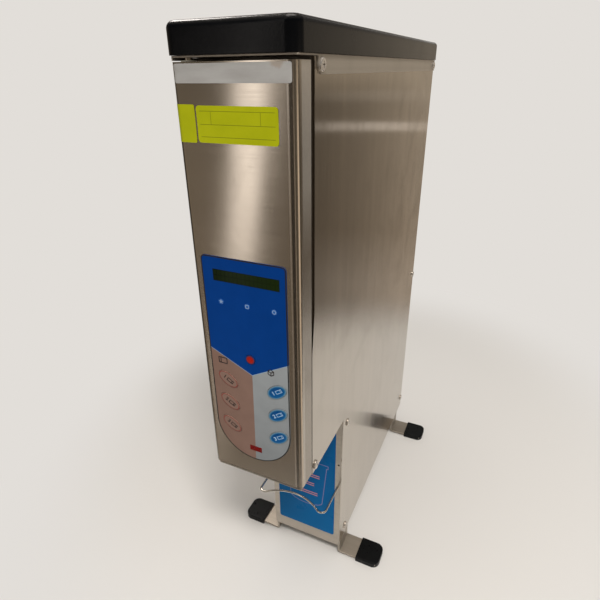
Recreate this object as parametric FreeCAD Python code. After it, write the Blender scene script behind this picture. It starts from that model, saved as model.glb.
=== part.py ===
import FreeCAD, Part
import math
import os

Vector = FreeCAD.Vector

# Sizes are in millimetres. x is measured from the middle plane, to the right seen from the front.
# y is measured back from the face of the door and z up from the floor; save() then moves the
# origin to the middle of the footprint.

# Cabinet
cabinet_half = 51.0
cabinet_rear = 468.0
sheet = 1.2
panel_bottom = 28.0
panel_top = 647.5
panel_front_upper = 31.0
panel_front_lower = 26.0
taper_top = 440.0
taper_bottom = 400.0
head_bottom = 250.0
column_front = 121.0
deck_top = 649.0
deck_flange_bottom = 635.5
deck_flange_front = 35.0
deck_rear = 466.8
deck_front = 1.0
shelf_bottom = 258.0
bulkhead_front = 28.5
cover_face = 465.6
sheet_gap = 0.2
flange_width = 14.0

# Panel screws: distance back and height, the same on both sides
deck_screws = [(41.0, 642.0), (458.0, 642.0)]
wall_screws = [(34.0, 257.0), (137.6, 234.5), (143.8, 40.0), (460.0, 315.0), (460.0, 49.0)]
screw_head_radius = 5.0
screw_head_height = 2.0
screw_shank_radius = 1.9
screw_hole_radius = 2.0

# Lid and its hinge
lid_left = -56.0
lid_right = 54.0
lid_front = -3.0
lid_rear = 473.0
lid_bottom = 649.2
lid_top = 672.0
lid_wall = 3.0
lid_corner = 10.0
lid_edge = 5.5
lid_hinge_y = 469.6
lid_hinge_z = 646.9
lid_knuckle = 2.6
lid_pin_radius = 1.3
hinge_half = 35.0
hinge_leaf = 1.0

# Door: it reaches past the cabinet on the side of its pins, where its return is shorter
door_left = -54.0
door_depth = 24.5
door_left_depth = 22.0
door_bottom = 253.0
door_top = 645.0
door_bend = 6.0
pivot_x = -42.0
pivot_y = 8.0
pivot_radius = 2.9
bush_radius = 4.4
catch_height = 600.0
catch_size = 24.0
catch_left = 34.0

# Keypad on the door
overlay_left = -44.5
overlay_right = 39.5
overlay_top = 495.0
overlay_thickness = 0.5
window_half = 33.0
window_bottom = 472.0
window_top = 483.0
indicator_height = 452.0
indicator_x = [-26.8, 0.2, 27.1]
indicator_radius = 2.7
# Each column of keys: middle, half length and half width of the ovals, and their tilt in degrees
key_columns = {"sweetener": (-26.6, 11.6, 6.7, -33.0), "sugar": (26.6, 11.6, 6.7, 34.0)}
key_heights = [368.0, 341.0, 313.2]
stop_key_height = 397.0
stop_key_radius = 4.8
key_front = 0.65
key_travel = 0.5
key_gap = 0.3
key_flange = 1.5
status_x = -0.6
status_height = 288.7
status_half_width = 6.8
status_half_height = 3.1
board_y = 8.0
switch_height_on_board = 1.2

# Two product lanes side by side
lanes = {"sweetener": -24.5, "sugar": 24.5}
hopper_half = 23.0
hopper_wall = 2.2
hopper_front = 62.0
hopper_rear = 385.0
hopper_top = 646.4
hopper_shoulder = 316.0
auger_height = 288.0
tube_radius = 15.5
tube_front = 38.0
outlet_y = 50.0
outlet_radius = 9.5
auger_radius = 12.5
auger_shaft = 4.0
auger_pitch = 24.0
flight_thickness = 1.8
agitator_shaft = 3.5
agitator_reach = 17.0
gear_module = 1.5
auger_teeth = 20
agitator_teeth = 28
gear_front = 388.0
gear_width = 8.0
pressure_angle = math.radians(20.0)
gear_backlash = 0.25
large_bush_radius = 7.0
small_bush_radius = 5.5
bracket_front = 399.0
bracket_thickness = 2.0
motor_radius = 18.5
motor_shaft_radius = 3.0
running_gap = 0.05
agitator_height = auger_height + gear_module * (auger_teeth + agitator_teeth) / 2

# Chute under the two outlets
chute_top = 269.0
chute_bottom = 245.0
chute_wall = 2.0

# Wire cup guide
guide_height = 137.0
guide_spare_height = 174.0
guide_half = 46.4
guide_wire = 1.35
guide_corner = 6.0
guide_cradle_radius = 58.6
guide_cradle_y = 28.4
guide_rear = 131.0

# Legs
leg_centres = [141.5, 425.5]
leg_width = 33.0
leg_thickness = 3.0
leg_floor_gap = 2.5
leg_reach = 104.0
cap_inner = 75.0
cap_outer = 108.0
cap_width = 36.0
cap_height = 8.0
cap_corner = 10.0

# Electrics at the back
inlet_height = 70.0
inlet_half_width = 14.0
inlet_half_height = 10.0
switch_height = 112.0
switch_half_width = 6.5
switch_half_height = 10.0
rocker_tilt = 8.0

X_AXIS = Vector(1, 0, 0)
Y_AXIS = Vector(0, 1, 0)
Z_AXIS = Vector(0, 0, 1)
inner_half = cabinet_half - sheet - sheet_gap
footprint_middle = (lid_front + lid_rear) / 2


def save(node, *solids):
    """Write one node, moved so that the origin is the middle of the footprint."""
    shape = solids[0] if len(solids) == 1 else Part.makeCompound(list(solids))
    shape.translated(Vector(0, -footprint_middle, 0)).exportStep("parts/" + node + ".step")


def box(x0, x1, y0, y1, z0, z1):
    return Part.makeBox(x1 - x0, y1 - y0, z1 - z0, Vector(x0, y0, z0))


def cylinder_x(y, z, radius, x0, x1):
    return Part.makeCylinder(radius, x1 - x0, Vector(x0, y, z), X_AXIS)


def cylinder_y(x, z, radius, y0, y1):
    return Part.makeCylinder(radius, y1 - y0, Vector(x, y0, z), Y_AXIS)


def cylinder_z(x, y, radius, z0, z1):
    return Part.makeCylinder(radius, z1 - z0, Vector(x, y, z0), Z_AXIS)


def oval_y(x, z, half_length, half_width, tilt, y0, y1):
    """An oval bar along y, its long axis tilted from x towards z."""
    centre = Vector(x, y0, z)
    turn = math.radians(tilt)
    along = X_AXIS * math.cos(turn) + Z_AXIS * math.sin(turn)
    across = Z_AXIS * math.cos(turn) - X_AXIS * math.sin(turn)
    curve = Part.Ellipse(centre + along * half_length, centre + across * half_width, centre)
    return Part.Face(Part.Wire(curve.toShape())).extrude(Y_AXIS * (y1 - y0))


def prism(points, direction):
    """A closed outline of points, extruded."""
    return Part.Face(Part.makePolygon(points + points[:1])).extrude(direction)


def join(*shapes):
    return shapes[0].fuse(list(shapes[1:])).removeSplitter()


def runs_along(edge, axis):
    if not isinstance(edge.Curve, Part.Line):
        return False
    return abs(edge.tangentAt(edge.FirstParameter).dot(axis)) > 0.999


def rounded(shape, radius, choose):
    """The shape with a radius on each edge that choose() accepts."""
    return shape.makeFillet(radius, [edge for edge in shape.Edges if choose(edge)])


def mirrored(shape):
    return shape.mirror(Vector(0, 0, 0), X_AXIS)


def screw_holes(places):
    """Bars along x that open the screw holes of both sides."""
    reach = cabinet_half + 5.0
    return [cylinder_x(y, z, screw_hole_radius, -reach, reach) for y, z in places]


def flange_pair(y0, y1, z0, z1):
    """Upright flanges that lie against the inside of both side panels."""
    right = box(inner_half - sheet, inner_half, y0, y1, z0, z1)
    return right, mirrored(right)


def side_panels():
    outline = [
        (panel_front_upper, panel_top),
        (panel_front_upper, taper_top),
        (panel_front_lower, taper_bottom),
        (panel_front_lower, head_bottom),
        (column_front, head_bottom),
        (column_front, panel_bottom),
        (cabinet_rear, panel_bottom),
        (cabinet_rear, panel_top),
    ]
    points = [Vector(cabinet_half - sheet, y, z) for y, z in outline]
    panel = prism(points, X_AXIS * sheet)
    panel = panel.cut(screw_holes(deck_screws + wall_screws))
    save("side_panel_right", panel)
    save("side_panel_left", mirrored(panel))


def front_bulkhead():
    cable_hole_radius = 9.0
    flange_bottom = head_bottom + 16.0
    flange_rear = 50.0
    top = deck_top - sheet - sheet_gap
    plate = box(-inner_half, inner_half, bulkhead_front, bulkhead_front + sheet, head_bottom + 1.5, top)
    flanges = flange_pair(bulkhead_front, flange_rear, flange_bottom, top)
    bulkhead = join(plate, *flanges)
    cable_hole = cylinder_y(-20.0, 560.0, cable_hole_radius, bulkhead_front - 1, bulkhead_front + 3)
    save("front_bulkhead", bulkhead.cut([cable_hole] + screw_holes(deck_screws)))


def head_floor():
    flange_front = bulkhead_front + sheet + 0.3
    top = head_bottom + sheet
    plate = box(-inner_half, inner_half, 0.8, column_front + sheet, head_bottom, top)
    flanges = flange_pair(flange_front, column_front - 1, head_bottom, top + flange_width)
    hole_half = 29.0
    hole_front = 33.2
    hole_rear = 62.8
    chute_hole = box(-hole_half, hole_half, hole_front, hole_rear, head_bottom - 1, top + 1)
    pin_hole = cylinder_z(pivot_x, pivot_y, pivot_radius, head_bottom - 1, top + 1)
    floor = join(plate, *flanges)
    save("head_floor", floor.cut([chute_hole, pin_hole] + screw_holes(wall_screws)))


def column_front_plate():
    lip_bottom = 22.0
    top = head_bottom - sheet_gap
    flange_rear = 152.0
    plate = box(-inner_half, inner_half, column_front, column_front + sheet, lip_bottom, top)
    flanges = flange_pair(column_front, flange_rear, panel_bottom + 2, top)
    column = join(plate, *flanges)
    holes = []
    for x in (-guide_half, guide_half):
        for height in (guide_height, guide_spare_height):
            holes.append(cylinder_y(x, height, guide_wire + 0.1, column_front - 1, guide_rear + 1))
    save("column_front", column.cut(holes + screw_holes(wall_screws)))


def splash_label():
    left = -43.0
    right = 42.0
    bottom = 40.0
    top = 228.0
    thickness = 0.4
    corner = 3.0
    label = box(left, right, column_front - thickness, column_front, bottom, top)
    save("splash_label", rounded(label, corner, lambda edge: runs_along(edge, Y_AXIS)))


def base_pan():
    rear = cover_face - sheet - sheet_gap
    flange_front = 153.0
    flange_rear = 443.0
    top = panel_bottom + sheet
    plate = box(-inner_half, inner_half, column_front + sheet + sheet_gap, rear, panel_bottom, top)
    flanges = flange_pair(flange_front, flange_rear, panel_bottom, top + flange_width)
    save("base_pan", join(plate, *flanges))


def mid_shelf():
    """The shelf that carries the hoppers and the motor bracket."""
    rear = cover_face - sheet - sheet_gap
    front = column_front + sheet + sheet_gap
    flange_rear = 443.0
    top = shelf_bottom + sheet
    plate = box(-inner_half, inner_half, front, rear, shelf_bottom, top)
    flanges = flange_pair(front, flange_rear, shelf_bottom, top + flange_width)
    cable_hole = cylinder_z(0.0, 430.0, 8.0, shelf_bottom - 1, top + 1)
    save("mid_shelf", join(plate, *flanges).cut(cable_hole))


def rear_cover():
    flange_front = 444.0
    bottom = panel_bottom + 2.0
    top = deck_top - sheet - sheet_gap
    inner_face = cover_face - sheet
    hole_clearance = 0.2
    vent_rows = 8
    vent_pitch_x = 24.0
    vent_pitch_z = 9.0
    vent_half_width = 9.0
    vent_height = 3.0
    lowest_vent = 150.0

    def opening(x, half_width, low, high):
        return box(x - half_width, x + half_width, inner_face - 1, cover_face + 1, low, high)

    plate = box(-inner_half, inner_half, inner_face, cover_face, bottom, top)
    upper = flange_pair(flange_front, cover_face, shelf_bottom + 16.0, top)
    lower = flange_pair(flange_front, cover_face, bottom + flange_width, shelf_bottom - 1.0)
    inlet_rise = inlet_half_height + hole_clearance
    inlet_hole = opening(0.0, inlet_half_width + hole_clearance,
                         inlet_height - inlet_rise, inlet_height + inlet_rise)
    switch_rise = switch_half_height + hole_clearance
    switch_hole = opening(0.0, switch_half_width + hole_clearance, switch_height - switch_rise,
                          switch_height + switch_rise)
    vents = []
    for row in range(vent_rows):
        low = lowest_vent + row * vent_pitch_z
        for column in (-1, 0, 1):
            vents.append(opening(column * vent_pitch_x, vent_half_width, low, low + vent_height))
    cover = join(plate, *upper, *lower)
    holes = screw_holes(deck_screws + wall_screws)
    save("rear_cover", cover.cut([inlet_hole, switch_hole] + vents + holes))


def fill_opening(wall):
    """Half width, front and rear of the space inside a fill collar, grown by wall."""
    half = 19.1 + wall
    front = hopper_front + hopper_wall + 1.8 - wall
    rear = hopper_rear - hopper_wall - 1.8 + wall
    return half, front, rear


def top_deck():
    half = cabinet_half + 0.05 + sheet
    collar_top = deck_top + 5.0
    collar_bottom = deck_top - 11.0
    plate = box(-half, half, deck_front, deck_rear, deck_top - sheet, deck_top)
    flange = box(half - sheet, half, deck_flange_front, deck_rear, deck_flange_bottom, deck_top)
    lower_front = lambda edge: runs_along(edge, X_AXIS) and edge.CenterOfMass.distanceToPoint(
        Vector(half - sheet / 2, deck_flange_front, deck_flange_bottom)) < 1
    flange = rounded(flange, 8.0, lower_front)
    rear_flange = box(-inner_half, inner_half, deck_rear - sheet, deck_rear, 630.0, deck_top)
    hinge_side_lip = box(-half, sheet - half, deck_front, deck_flange_front, door_top + 0.8, deck_top)
    collars = []
    openings = []
    for x in lanes.values():
        outer_half, outer_front, outer_rear = fill_opening(sheet)
        inner, front, rear = fill_opening(0.0)
        collars.append(box(x - outer_half, x + outer_half, outer_front, outer_rear,
                           collar_bottom, collar_top))
        openings.append(box(x - inner, x + inner, front, rear, collar_bottom - 1, collar_top + 1))
    pin_hole = cylinder_z(pivot_x, pivot_y, pivot_radius, deck_top - 3, deck_top + 1)
    deck = join(plate, flange, mirrored(flange), rear_flange, hinge_side_lip, *collars)
    save("top_deck", deck.cut(openings + [pin_hole] + screw_holes(deck_screws)))


def pan_head_screw(y, z, face):
    """A panel screw whose head rests on the plane x = face."""
    head = cylinder_x(y, z, screw_head_radius, face, face + screw_head_height)
    outer_rim = lambda edge: edge.CenterOfMass.x > face + 1 and not runs_along(edge, X_AXIS)
    head = rounded(head, 1.2, outer_rim)
    shank = cylinder_x(y, z, screw_shank_radius, face - 7.0, face + 0.5)
    recess_x = face + screw_head_height
    upright = box(recess_x - 1.1, recess_x + 1, y - 0.5, y + 0.5, z - 2.4, z + 2.4)
    level = box(recess_x - 1.1, recess_x + 1, y - 2.4, y + 2.4, z - 0.5, z + 0.5)
    return join(head, shank).cut([upright, level])


def panel_screws():
    screws = [pan_head_screw(y, z, cabinet_half + 0.05 + sheet) for y, z in deck_screws]
    screws += [pan_head_screw(y, z, cabinet_half) for y, z in wall_screws]
    save("panel_screws", *screws, *[mirrored(screw) for screw in screws])


def leg_strap(y):
    """A flat bar bent down at both sides of the cabinet and out along the floor."""
    rise = panel_bottom - leg_floor_gap
    half = cabinet_half - 0.5
    front = y - leg_width / 2
    bar_top = leg_floor_gap + leg_thickness
    path = [
        (leg_reach, leg_floor_gap),
        (leg_reach, bar_top),
        (half, bar_top),
        (half, leg_floor_gap + rise),
        (-half, leg_floor_gap + rise),
        (-half, bar_top),
        (-leg_reach, bar_top),
        (-leg_reach, leg_floor_gap),
        (-half + leg_thickness, leg_floor_gap),
        (-half + leg_thickness, leg_floor_gap + rise - leg_thickness),
        (half - leg_thickness, leg_floor_gap + rise - leg_thickness),
        (half - leg_thickness, leg_floor_gap),
    ]
    strap = prism([Vector(x, front, z) for x, z in path], Y_AXIS * leg_width)
    outside = lambda edge: runs_along(edge, Y_AXIS) and (
        abs(abs(edge.CenterOfMass.x) - half) < 0.1 and edge.CenterOfMass.z > 20
        or abs(abs(edge.CenterOfMass.x) - half + leg_thickness) < 0.1 and edge.CenterOfMass.z < 4)
    inside = lambda edge: runs_along(edge, Y_AXIS) and (
        abs(abs(edge.CenterOfMass.x) - half) < 0.1 and edge.CenterOfMass.z < 8
        or abs(abs(edge.CenterOfMass.x) - half + leg_thickness) < 0.1 and 20 < edge.CenterOfMass.z < 26)
    strap = rounded(strap, leg_thickness + 0.8, outside)
    return rounded(strap, 0.8, inside)


def foot_cap(y):
    """A moulded cap pushed over the right end of a leg strap."""
    cap = box(cap_inner, cap_outer, y - cap_width / 2, y + cap_width / 2, 0.0, cap_height)
    cap = rounded(cap, cap_corner, lambda edge: runs_along(edge, Z_AXIS)
                  and edge.CenterOfMass.x > cap_outer - 1)
    cap = rounded(cap, 1.6, lambda edge: abs(edge.CenterOfMass.z - cap_height) < 0.1
                  and edge.CenterOfMass.x > cap_inner + 1)
    gap = 0.05
    slot = box(cap_inner - 1, leg_reach + gap, y - leg_width / 2 - gap, y + leg_width / 2 + gap,
               leg_floor_gap - gap, leg_floor_gap + leg_thickness + gap)
    return cap.cut(slot)


def legs():
    save("leg_straps", *[leg_strap(y) for y in leg_centres])
    caps = [foot_cap(y) for y in leg_centres]
    save("foot_caps", *caps, *[mirrored(cap) for cap in caps])


def cup_guide():
    """A bent wire whose ends push into two holes of the column front."""
    corner_x = guide_half - guide_corner
    turn = math.acos(corner_x / (guide_cradle_radius + guide_corner))
    join_x = guide_cradle_radius * math.cos(turn)
    join_y = guide_cradle_y + guide_cradle_radius * math.sin(turn)
    corner_y = join_y + guide_corner * math.sin(turn)
    middle = -(math.pi - turn) / 2

    def point(x, y):
        return Vector(x, y, guide_height)

    bend_x = corner_x + guide_corner * math.cos(middle)
    bend_y = corner_y + guide_corner * math.sin(middle)
    cradle_y = guide_cradle_y + guide_cradle_radius
    edges = [
        Part.LineSegment(point(guide_half, guide_rear), point(guide_half, corner_y)),
        Part.Arc(point(guide_half, corner_y), point(bend_x, bend_y), point(join_x, join_y)),
        Part.Arc(point(join_x, join_y), point(0, cradle_y), point(-join_x, join_y)),
        Part.Arc(point(-join_x, join_y), point(-bend_x, bend_y), point(-guide_half, corner_y)),
        Part.LineSegment(point(-guide_half, corner_y), point(-guide_half, guide_rear)),
    ]
    path = Part.Wire([edge.toShape() for edge in edges])
    section = Part.Wire(Part.makeCircle(guide_wire, point(guide_half, guide_rear), Y_AXIS))
    save("cup_guide", path.makePipeShell([section], True, False))


def hopper_outline(x, shrink, y, top):
    """The section of a lane: straight walls, a shoulder and a half-round trough."""
    half = hopper_half - shrink
    radius = tube_radius - shrink
    right = Vector(x + radius, y, auger_height)
    left = Vector(x - radius, y, auger_height)
    lowest = Vector(x, y, auger_height - radius)
    shoulder = hopper_shoulder + shrink / 2
    corners = [right, Vector(x + half, y, shoulder), Vector(x + half, y, top),
               Vector(x - half, y, top), Vector(x - half, y, shoulder), left]
    lines = Part.makePolygon(corners).Edges
    trough = Part.Arc(left, lowest, right).toShape()
    return Part.Face(Part.Wire(lines + [trough]))


def hopper(x):
    inner = tube_radius - hopper_wall
    body = hopper_outline(x, 0.0, hopper_front, hopper_top).extrude(Y_AXIS * (hopper_rear - hopper_front))
    tube = cylinder_y(x, auger_height, tube_radius, tube_front, hopper_front + 1)
    saddle_half = 12.0
    saddle_thickness = 6.0
    saddles = []
    for y in (137.0, 349.0):
        saddles.append(box(x - saddle_half, x + saddle_half, y, y + saddle_thickness,
                           shelf_bottom + sheet, auger_height - 10.0))
    inner_front = hopper_front + hopper_wall
    rear_wall = hopper_rear - hopper_wall
    inner_length = hopper_rear - hopper_front - 2 * hopper_wall
    hollow = hopper_outline(x, hopper_wall, inner_front, hopper_top + 1).extrude(Y_AXIS * inner_length)
    bore = cylinder_y(x, auger_height, inner, tube_front + hopper_wall, inner_front + 1)
    outlet = cylinder_z(x, outlet_y, outlet_radius, auger_height - tube_radius - 1, auger_height)
    bush_bores = [
        cylinder_y(x, auger_height, large_bush_radius, tube_front - 1, inner_front),
        cylinder_y(x, auger_height, large_bush_radius, rear_wall - 1, hopper_rear + 1),
        cylinder_y(x, agitator_height, small_bush_radius, hopper_front - 1, inner_front + 1),
        cylinder_y(x, agitator_height, small_bush_radius, rear_wall - 1, hopper_rear + 1),
    ]
    return join(body, tube, *saddles).cut([hollow, bore, outlet] + bush_bores)


def hoppers():
    seals = []
    for name, x in lanes.items():
        save("hopper_" + name, hopper(x))
        half, front, rear = hopper_half - 0.2, hopper_front + 0.2, hopper_rear - 0.2
        rim = hopper_wall + 0.2
        ring = box(x - half, x + half, front, rear, hopper_top, deck_top - sheet)
        window = box(x - half + rim, x + half - rim, front + rim, rear - rim, hopper_top - 1, deck_top)
        seals.append(ring.cut(window))
    save("hopper_seals", *seals)


def flanged_bush(x, z, y0, y1, outer, inner, flange_side):
    """A bush in a wall from y0 to y1, with a thin flange before (-1) or behind (1) it."""
    flange = 1.0
    body = cylinder_y(x, z, outer, y0, y1)
    if flange_side < 0:
        rim = cylinder_y(x, z, outer + 1.5, y0 - flange, y0)
    else:
        rim = cylinder_y(x, z, outer + 1.5, y1, y1 + flange)
    return join(body, rim).cut(cylinder_y(x, z, inner, y0 - 2, y1 + 2))


def bushes():
    auger_bushes = []
    agitator_bushes = []
    auger_bore = auger_shaft + running_gap
    agitator_bore = agitator_shaft + running_gap
    rear_wall = hopper_rear - hopper_wall
    front_wall = hopper_front + hopper_wall
    bracket_rear = bracket_front + bracket_thickness
    for x in lanes.values():
        z = auger_height
        outer = large_bush_radius
        auger_bushes.append(flanged_bush(x, z, tube_front, tube_front + hopper_wall, outer, auger_bore, -1))
        auger_bushes.append(flanged_bush(x, z, rear_wall, hopper_rear, outer, auger_bore, 1))
        z = agitator_height
        outer = small_bush_radius
        agitator_bushes.append(flanged_bush(x, z, hopper_front, front_wall, outer, agitator_bore, -1))
        agitator_bushes.append(flanged_bush(x, z, rear_wall, hopper_rear, outer, agitator_bore, 1))
        agitator_bushes.append(flanged_bush(x, z, bracket_front, bracket_rear, outer, agitator_bore, 1))
    save("auger_bushes", *auger_bushes)
    save("agitator_bushes", *agitator_bushes)


def auger(x):
    """A shaft with one helical flight and a socket for the motor's shaft at its back."""
    flight_front = 44.0
    flight_rear = 379.0
    inner = auger_shaft - 0.6
    middle = (auger_radius + inner) / 2
    helix = Part.makeLongHelix(auger_pitch, flight_rear - flight_front, middle)
    half = flight_thickness / 2
    section = Part.makePolygon([Vector(inner, 0, -half), Vector(auger_radius, 0, -half),
                                Vector(auger_radius, 0, half), Vector(inner, 0, half),
                                Vector(inner, 0, -half)])
    flight = Part.Wire(helix).makePipeShell([section], True, True)
    flight.rotate(Vector(0, 0, 0), X_AXIS, -90)
    flight.translate(Vector(x, flight_front, auger_height))
    shaft = cylinder_y(x, auger_height, auger_shaft, tube_front - 3, hopper_rear + 2)
    hub = cylinder_y(x, auger_height, auger_shaft + 1, hopper_rear + 1.2, bracket_front - 1.5)
    socket = cylinder_y(x, auger_height, motor_shaft_radius, gear_front, bracket_front)
    return join(shaft, flight, hub).cut(socket)


def agitator(x):
    """A shaft with short fingers set a quarter turn apart."""
    z = agitator_height
    shaft = cylinder_y(x, z, agitator_shaft, hopper_front - 3, bracket_front + bracket_thickness + 2)
    fingers = []
    finger_count = 12
    finger_radius = 1.6
    spacing = 25.0
    first = hopper_front + spacing
    for index in range(finger_count):
        centre = Vector(x, first + index * spacing, z)
        direction = X_AXIS if index % 2 else Z_AXIS
        start = centre - direction * agitator_reach
        fingers.append(Part.makeCylinder(finger_radius, 2 * agitator_reach, start, direction))
    return join(shaft, *fingers)


def involute(angle):
    return math.tan(angle) - angle


def spur_gear(x, z, teeth, bore, tooth_angle):
    """A spur gear about y with one tooth's middle at tooth_angle from +x towards +z."""
    pitch_radius = gear_module * teeth / 2
    base_radius = pitch_radius * math.cos(pressure_angle)
    root_radius = pitch_radius - 1.25 * gear_module
    tip_radius = pitch_radius + 0.95 * gear_module
    half_at_pitch = math.pi / (2 * teeth) - gear_backlash / (2 * pitch_radius)
    start_radius = max(base_radius, root_radius)
    flank = [(root_radius, half_at_pitch + involute(pressure_angle))]
    steps = 5
    for step in range(steps + 1):
        radius = start_radius + (tip_radius - start_radius) * step / steps
        angle = math.acos(base_radius / radius)
        flank.append((radius, half_at_pitch + involute(pressure_angle) - involute(angle)))
    points = []
    for tooth in range(teeth):
        middle = tooth_angle + 2 * math.pi * tooth / teeth
        for radius, half in flank:
            points.append((radius, middle - half))
        for radius, half in reversed(flank):
            points.append((radius, middle + half))
    corners = [Vector(x + r * math.cos(a), gear_front, z + r * math.sin(a)) for r, a in points]
    gear = prism(corners, Y_AXIS * gear_width)
    return gear.cut(cylinder_y(x, z, bore, gear_front - 1, gear_front + gear_width + 1))


def product_drive():
    straight_up = math.pi / 2
    for name, x in lanes.items():
        save("auger_" + name, auger(x))
        save("agitator_" + name, agitator(x))
        save("auger_gear_" + name, spur_gear(x, auger_height, auger_teeth, auger_shaft + 1, straight_up))
        half_tooth = math.pi / agitator_teeth
        save("agitator_gear_" + name,
             spur_gear(x, agitator_height, agitator_teeth, agitator_shaft, -straight_up + half_tooth))
        save("motor_shaft_" + name,
             cylinder_y(x, auger_height, motor_shaft_radius, gear_front, bracket_front + 8))


def motor_screw_places(x):
    pitch = 13.0
    return [(x + dx, auger_height + dz) for dx, dz in ((pitch, 0), (-pitch, 0), (0, pitch), (0, -pitch))]


def motors():
    face = bracket_front + bracket_thickness
    bracket_half = 46.0
    bracket_top = 346.0
    foot_depth = 9.0
    boss_radius = 6.0
    gearbox_rear = face + 24.0
    can_rear = face + 52.0
    tag_offset = 10.0
    thread_radius = 1.5
    shelf_top = shelf_bottom + sheet
    plate = box(-bracket_half, bracket_half, bracket_front, face, shelf_top, bracket_top)
    foot = box(-bracket_half, bracket_half, bracket_front - foot_depth, face, shelf_top,
               shelf_top + bracket_thickness)
    holes = []
    motors_made = []
    screws = []
    for x in lanes.values():
        holes.append(cylinder_y(x, auger_height, boss_radius + 0.1, bracket_front - 1, face + 1))
        holes.append(cylinder_y(x, agitator_height, small_bush_radius, bracket_front - 1, face + 1))
        gearbox = cylinder_y(x, auger_height, motor_radius, face, gearbox_rear)
        boss = cylinder_y(x, auger_height, boss_radius, bracket_front + 0.4, face)
        can = cylinder_y(x, auger_height, motor_radius - 1.5, gearbox_rear, can_rear)
        end_cap = cylinder_y(x, auger_height, 5.0, can_rear, can_rear + 3.0)
        tags = [box(x + dx - 1.5, x + dx + 1.5, can_rear, can_rear + 6.0,
                    auger_height - 0.4, auger_height + 0.4)
                for dx in (-tag_offset, tag_offset)]
        shaft_bore = cylinder_y(x, auger_height, motor_shaft_radius + running_gap,
                                bracket_front, face + 6.5)
        screw_bores = [cylinder_y(sx, sz, thread_radius, face - 1, face + 5)
                       for sx, sz in motor_screw_places(x)]
        motors_made.append(join(gearbox, boss, can, end_cap, *tags).cut([shaft_bore] + screw_bores))
        for sx, sz in motor_screw_places(x):
            holes.append(cylinder_y(sx, sz, thread_radius + 0.1, bracket_front - 1, face + 1))
            head = cylinder_y(sx, sz, 2.8, bracket_front - 2.0, bracket_front)
            shank = cylinder_y(sx, sz, thread_radius - 0.05, bracket_front - 1, face + 4)
            screws.append(join(head, shank))
    save("motor_bracket", join(plate, foot).cut(holes))
    save("gearmotors", *motors_made)
    save("motor_screws", *screws)


def rectangle(x0, x1, y0, y1, z):
    corners = [Vector(x0, y0, z), Vector(x1, y0, z), Vector(x1, y1, z), Vector(x0, y1, z)]
    return Part.makePolygon(corners + corners[:1])


def discharge_chute():
    """A funnel from both tube outlets to one mouth under the head."""
    mouth_half = 22.0
    mouth_front = 35.0
    mouth_rear = 59.0
    top_half = 44.0
    top_front = 33.5
    top_rear = 68.0

    def funnel(wall, beyond):
        """The funnel's outside, moved in by wall and carried beyond both ends."""
        mouth = rectangle(wall - mouth_half, mouth_half - wall, mouth_front + wall, mouth_rear - wall,
                          chute_bottom - beyond)
        top = rectangle(wall - top_half, top_half - wall, top_front + wall, top_rear - wall,
                        chute_top + beyond)
        return Part.makeLoft([mouth, top], True, True)

    floor_top = head_bottom + sheet
    flange_half = 42.0
    flange_front = 31.0
    flange_rear = 72.0
    flange = box(-flange_half, flange_half, flange_front, flange_rear,
                 floor_top, floor_top + chute_wall)
    save("discharge_chute", join(funnel(0.0, 0.0), flange).cut(funnel(chute_wall, 0.01)))


def power_parts():
    bottom = panel_bottom + sheet
    top = bottom + 40.0
    front = 190.0
    rear = 350.0
    terminal_depth = 12.0
    slot_count = 9
    slot_pitch = 14.0
    slot_width = 4.0
    slot_depth = 2.0
    case_half = 42.0
    terminal_half = 34.0
    slot_half = 30.0
    case = box(-case_half, case_half, front, rear, bottom, top)
    terminals = box(-terminal_half, terminal_half, rear, rear + terminal_depth,
                    bottom + 4.0, bottom + 18.0)
    slots = []
    for index in range(slot_count):
        y = front + 20.0 + index * slot_pitch
        slots.append(box(-slot_half, slot_half, y, y + slot_width, top - slot_depth, top + 1))
    save("power_supply", join(case, terminals).cut(slots))

    flange_margin = 3.0
    flange_reach = inlet_half_width + 2 * flange_margin
    wall = 2.0
    body_depth = 22.0
    mouth_depth = 16.0
    low = inlet_height - inlet_half_height
    high = inlet_height + inlet_half_height
    flange = box(-flange_reach, flange_reach, cover_face, cover_face + wall, low - flange_margin,
                 high + flange_margin)
    body = box(-inlet_half_width, inlet_half_width, cover_face - body_depth, cover_face, low, high)
    mouth = box(wall - inlet_half_width, inlet_half_width - wall, cover_face - mouth_depth, cover_face + 3,
                low + wall, high - wall)
    pins = []
    for x, rise in ((-7.0, -1.0), (0.0, 2.5), (7.0, -1.0)):
        z = inlet_height + rise
        pins.append(box(x - 1.0, x + 1.0, cover_face - mouth_depth - 1, cover_face - 4.5, z - 2.0, z + 2.0))
    inlet = join(flange, body).cut(mouth)
    save("power_inlet", join(inlet, *pins))


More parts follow.
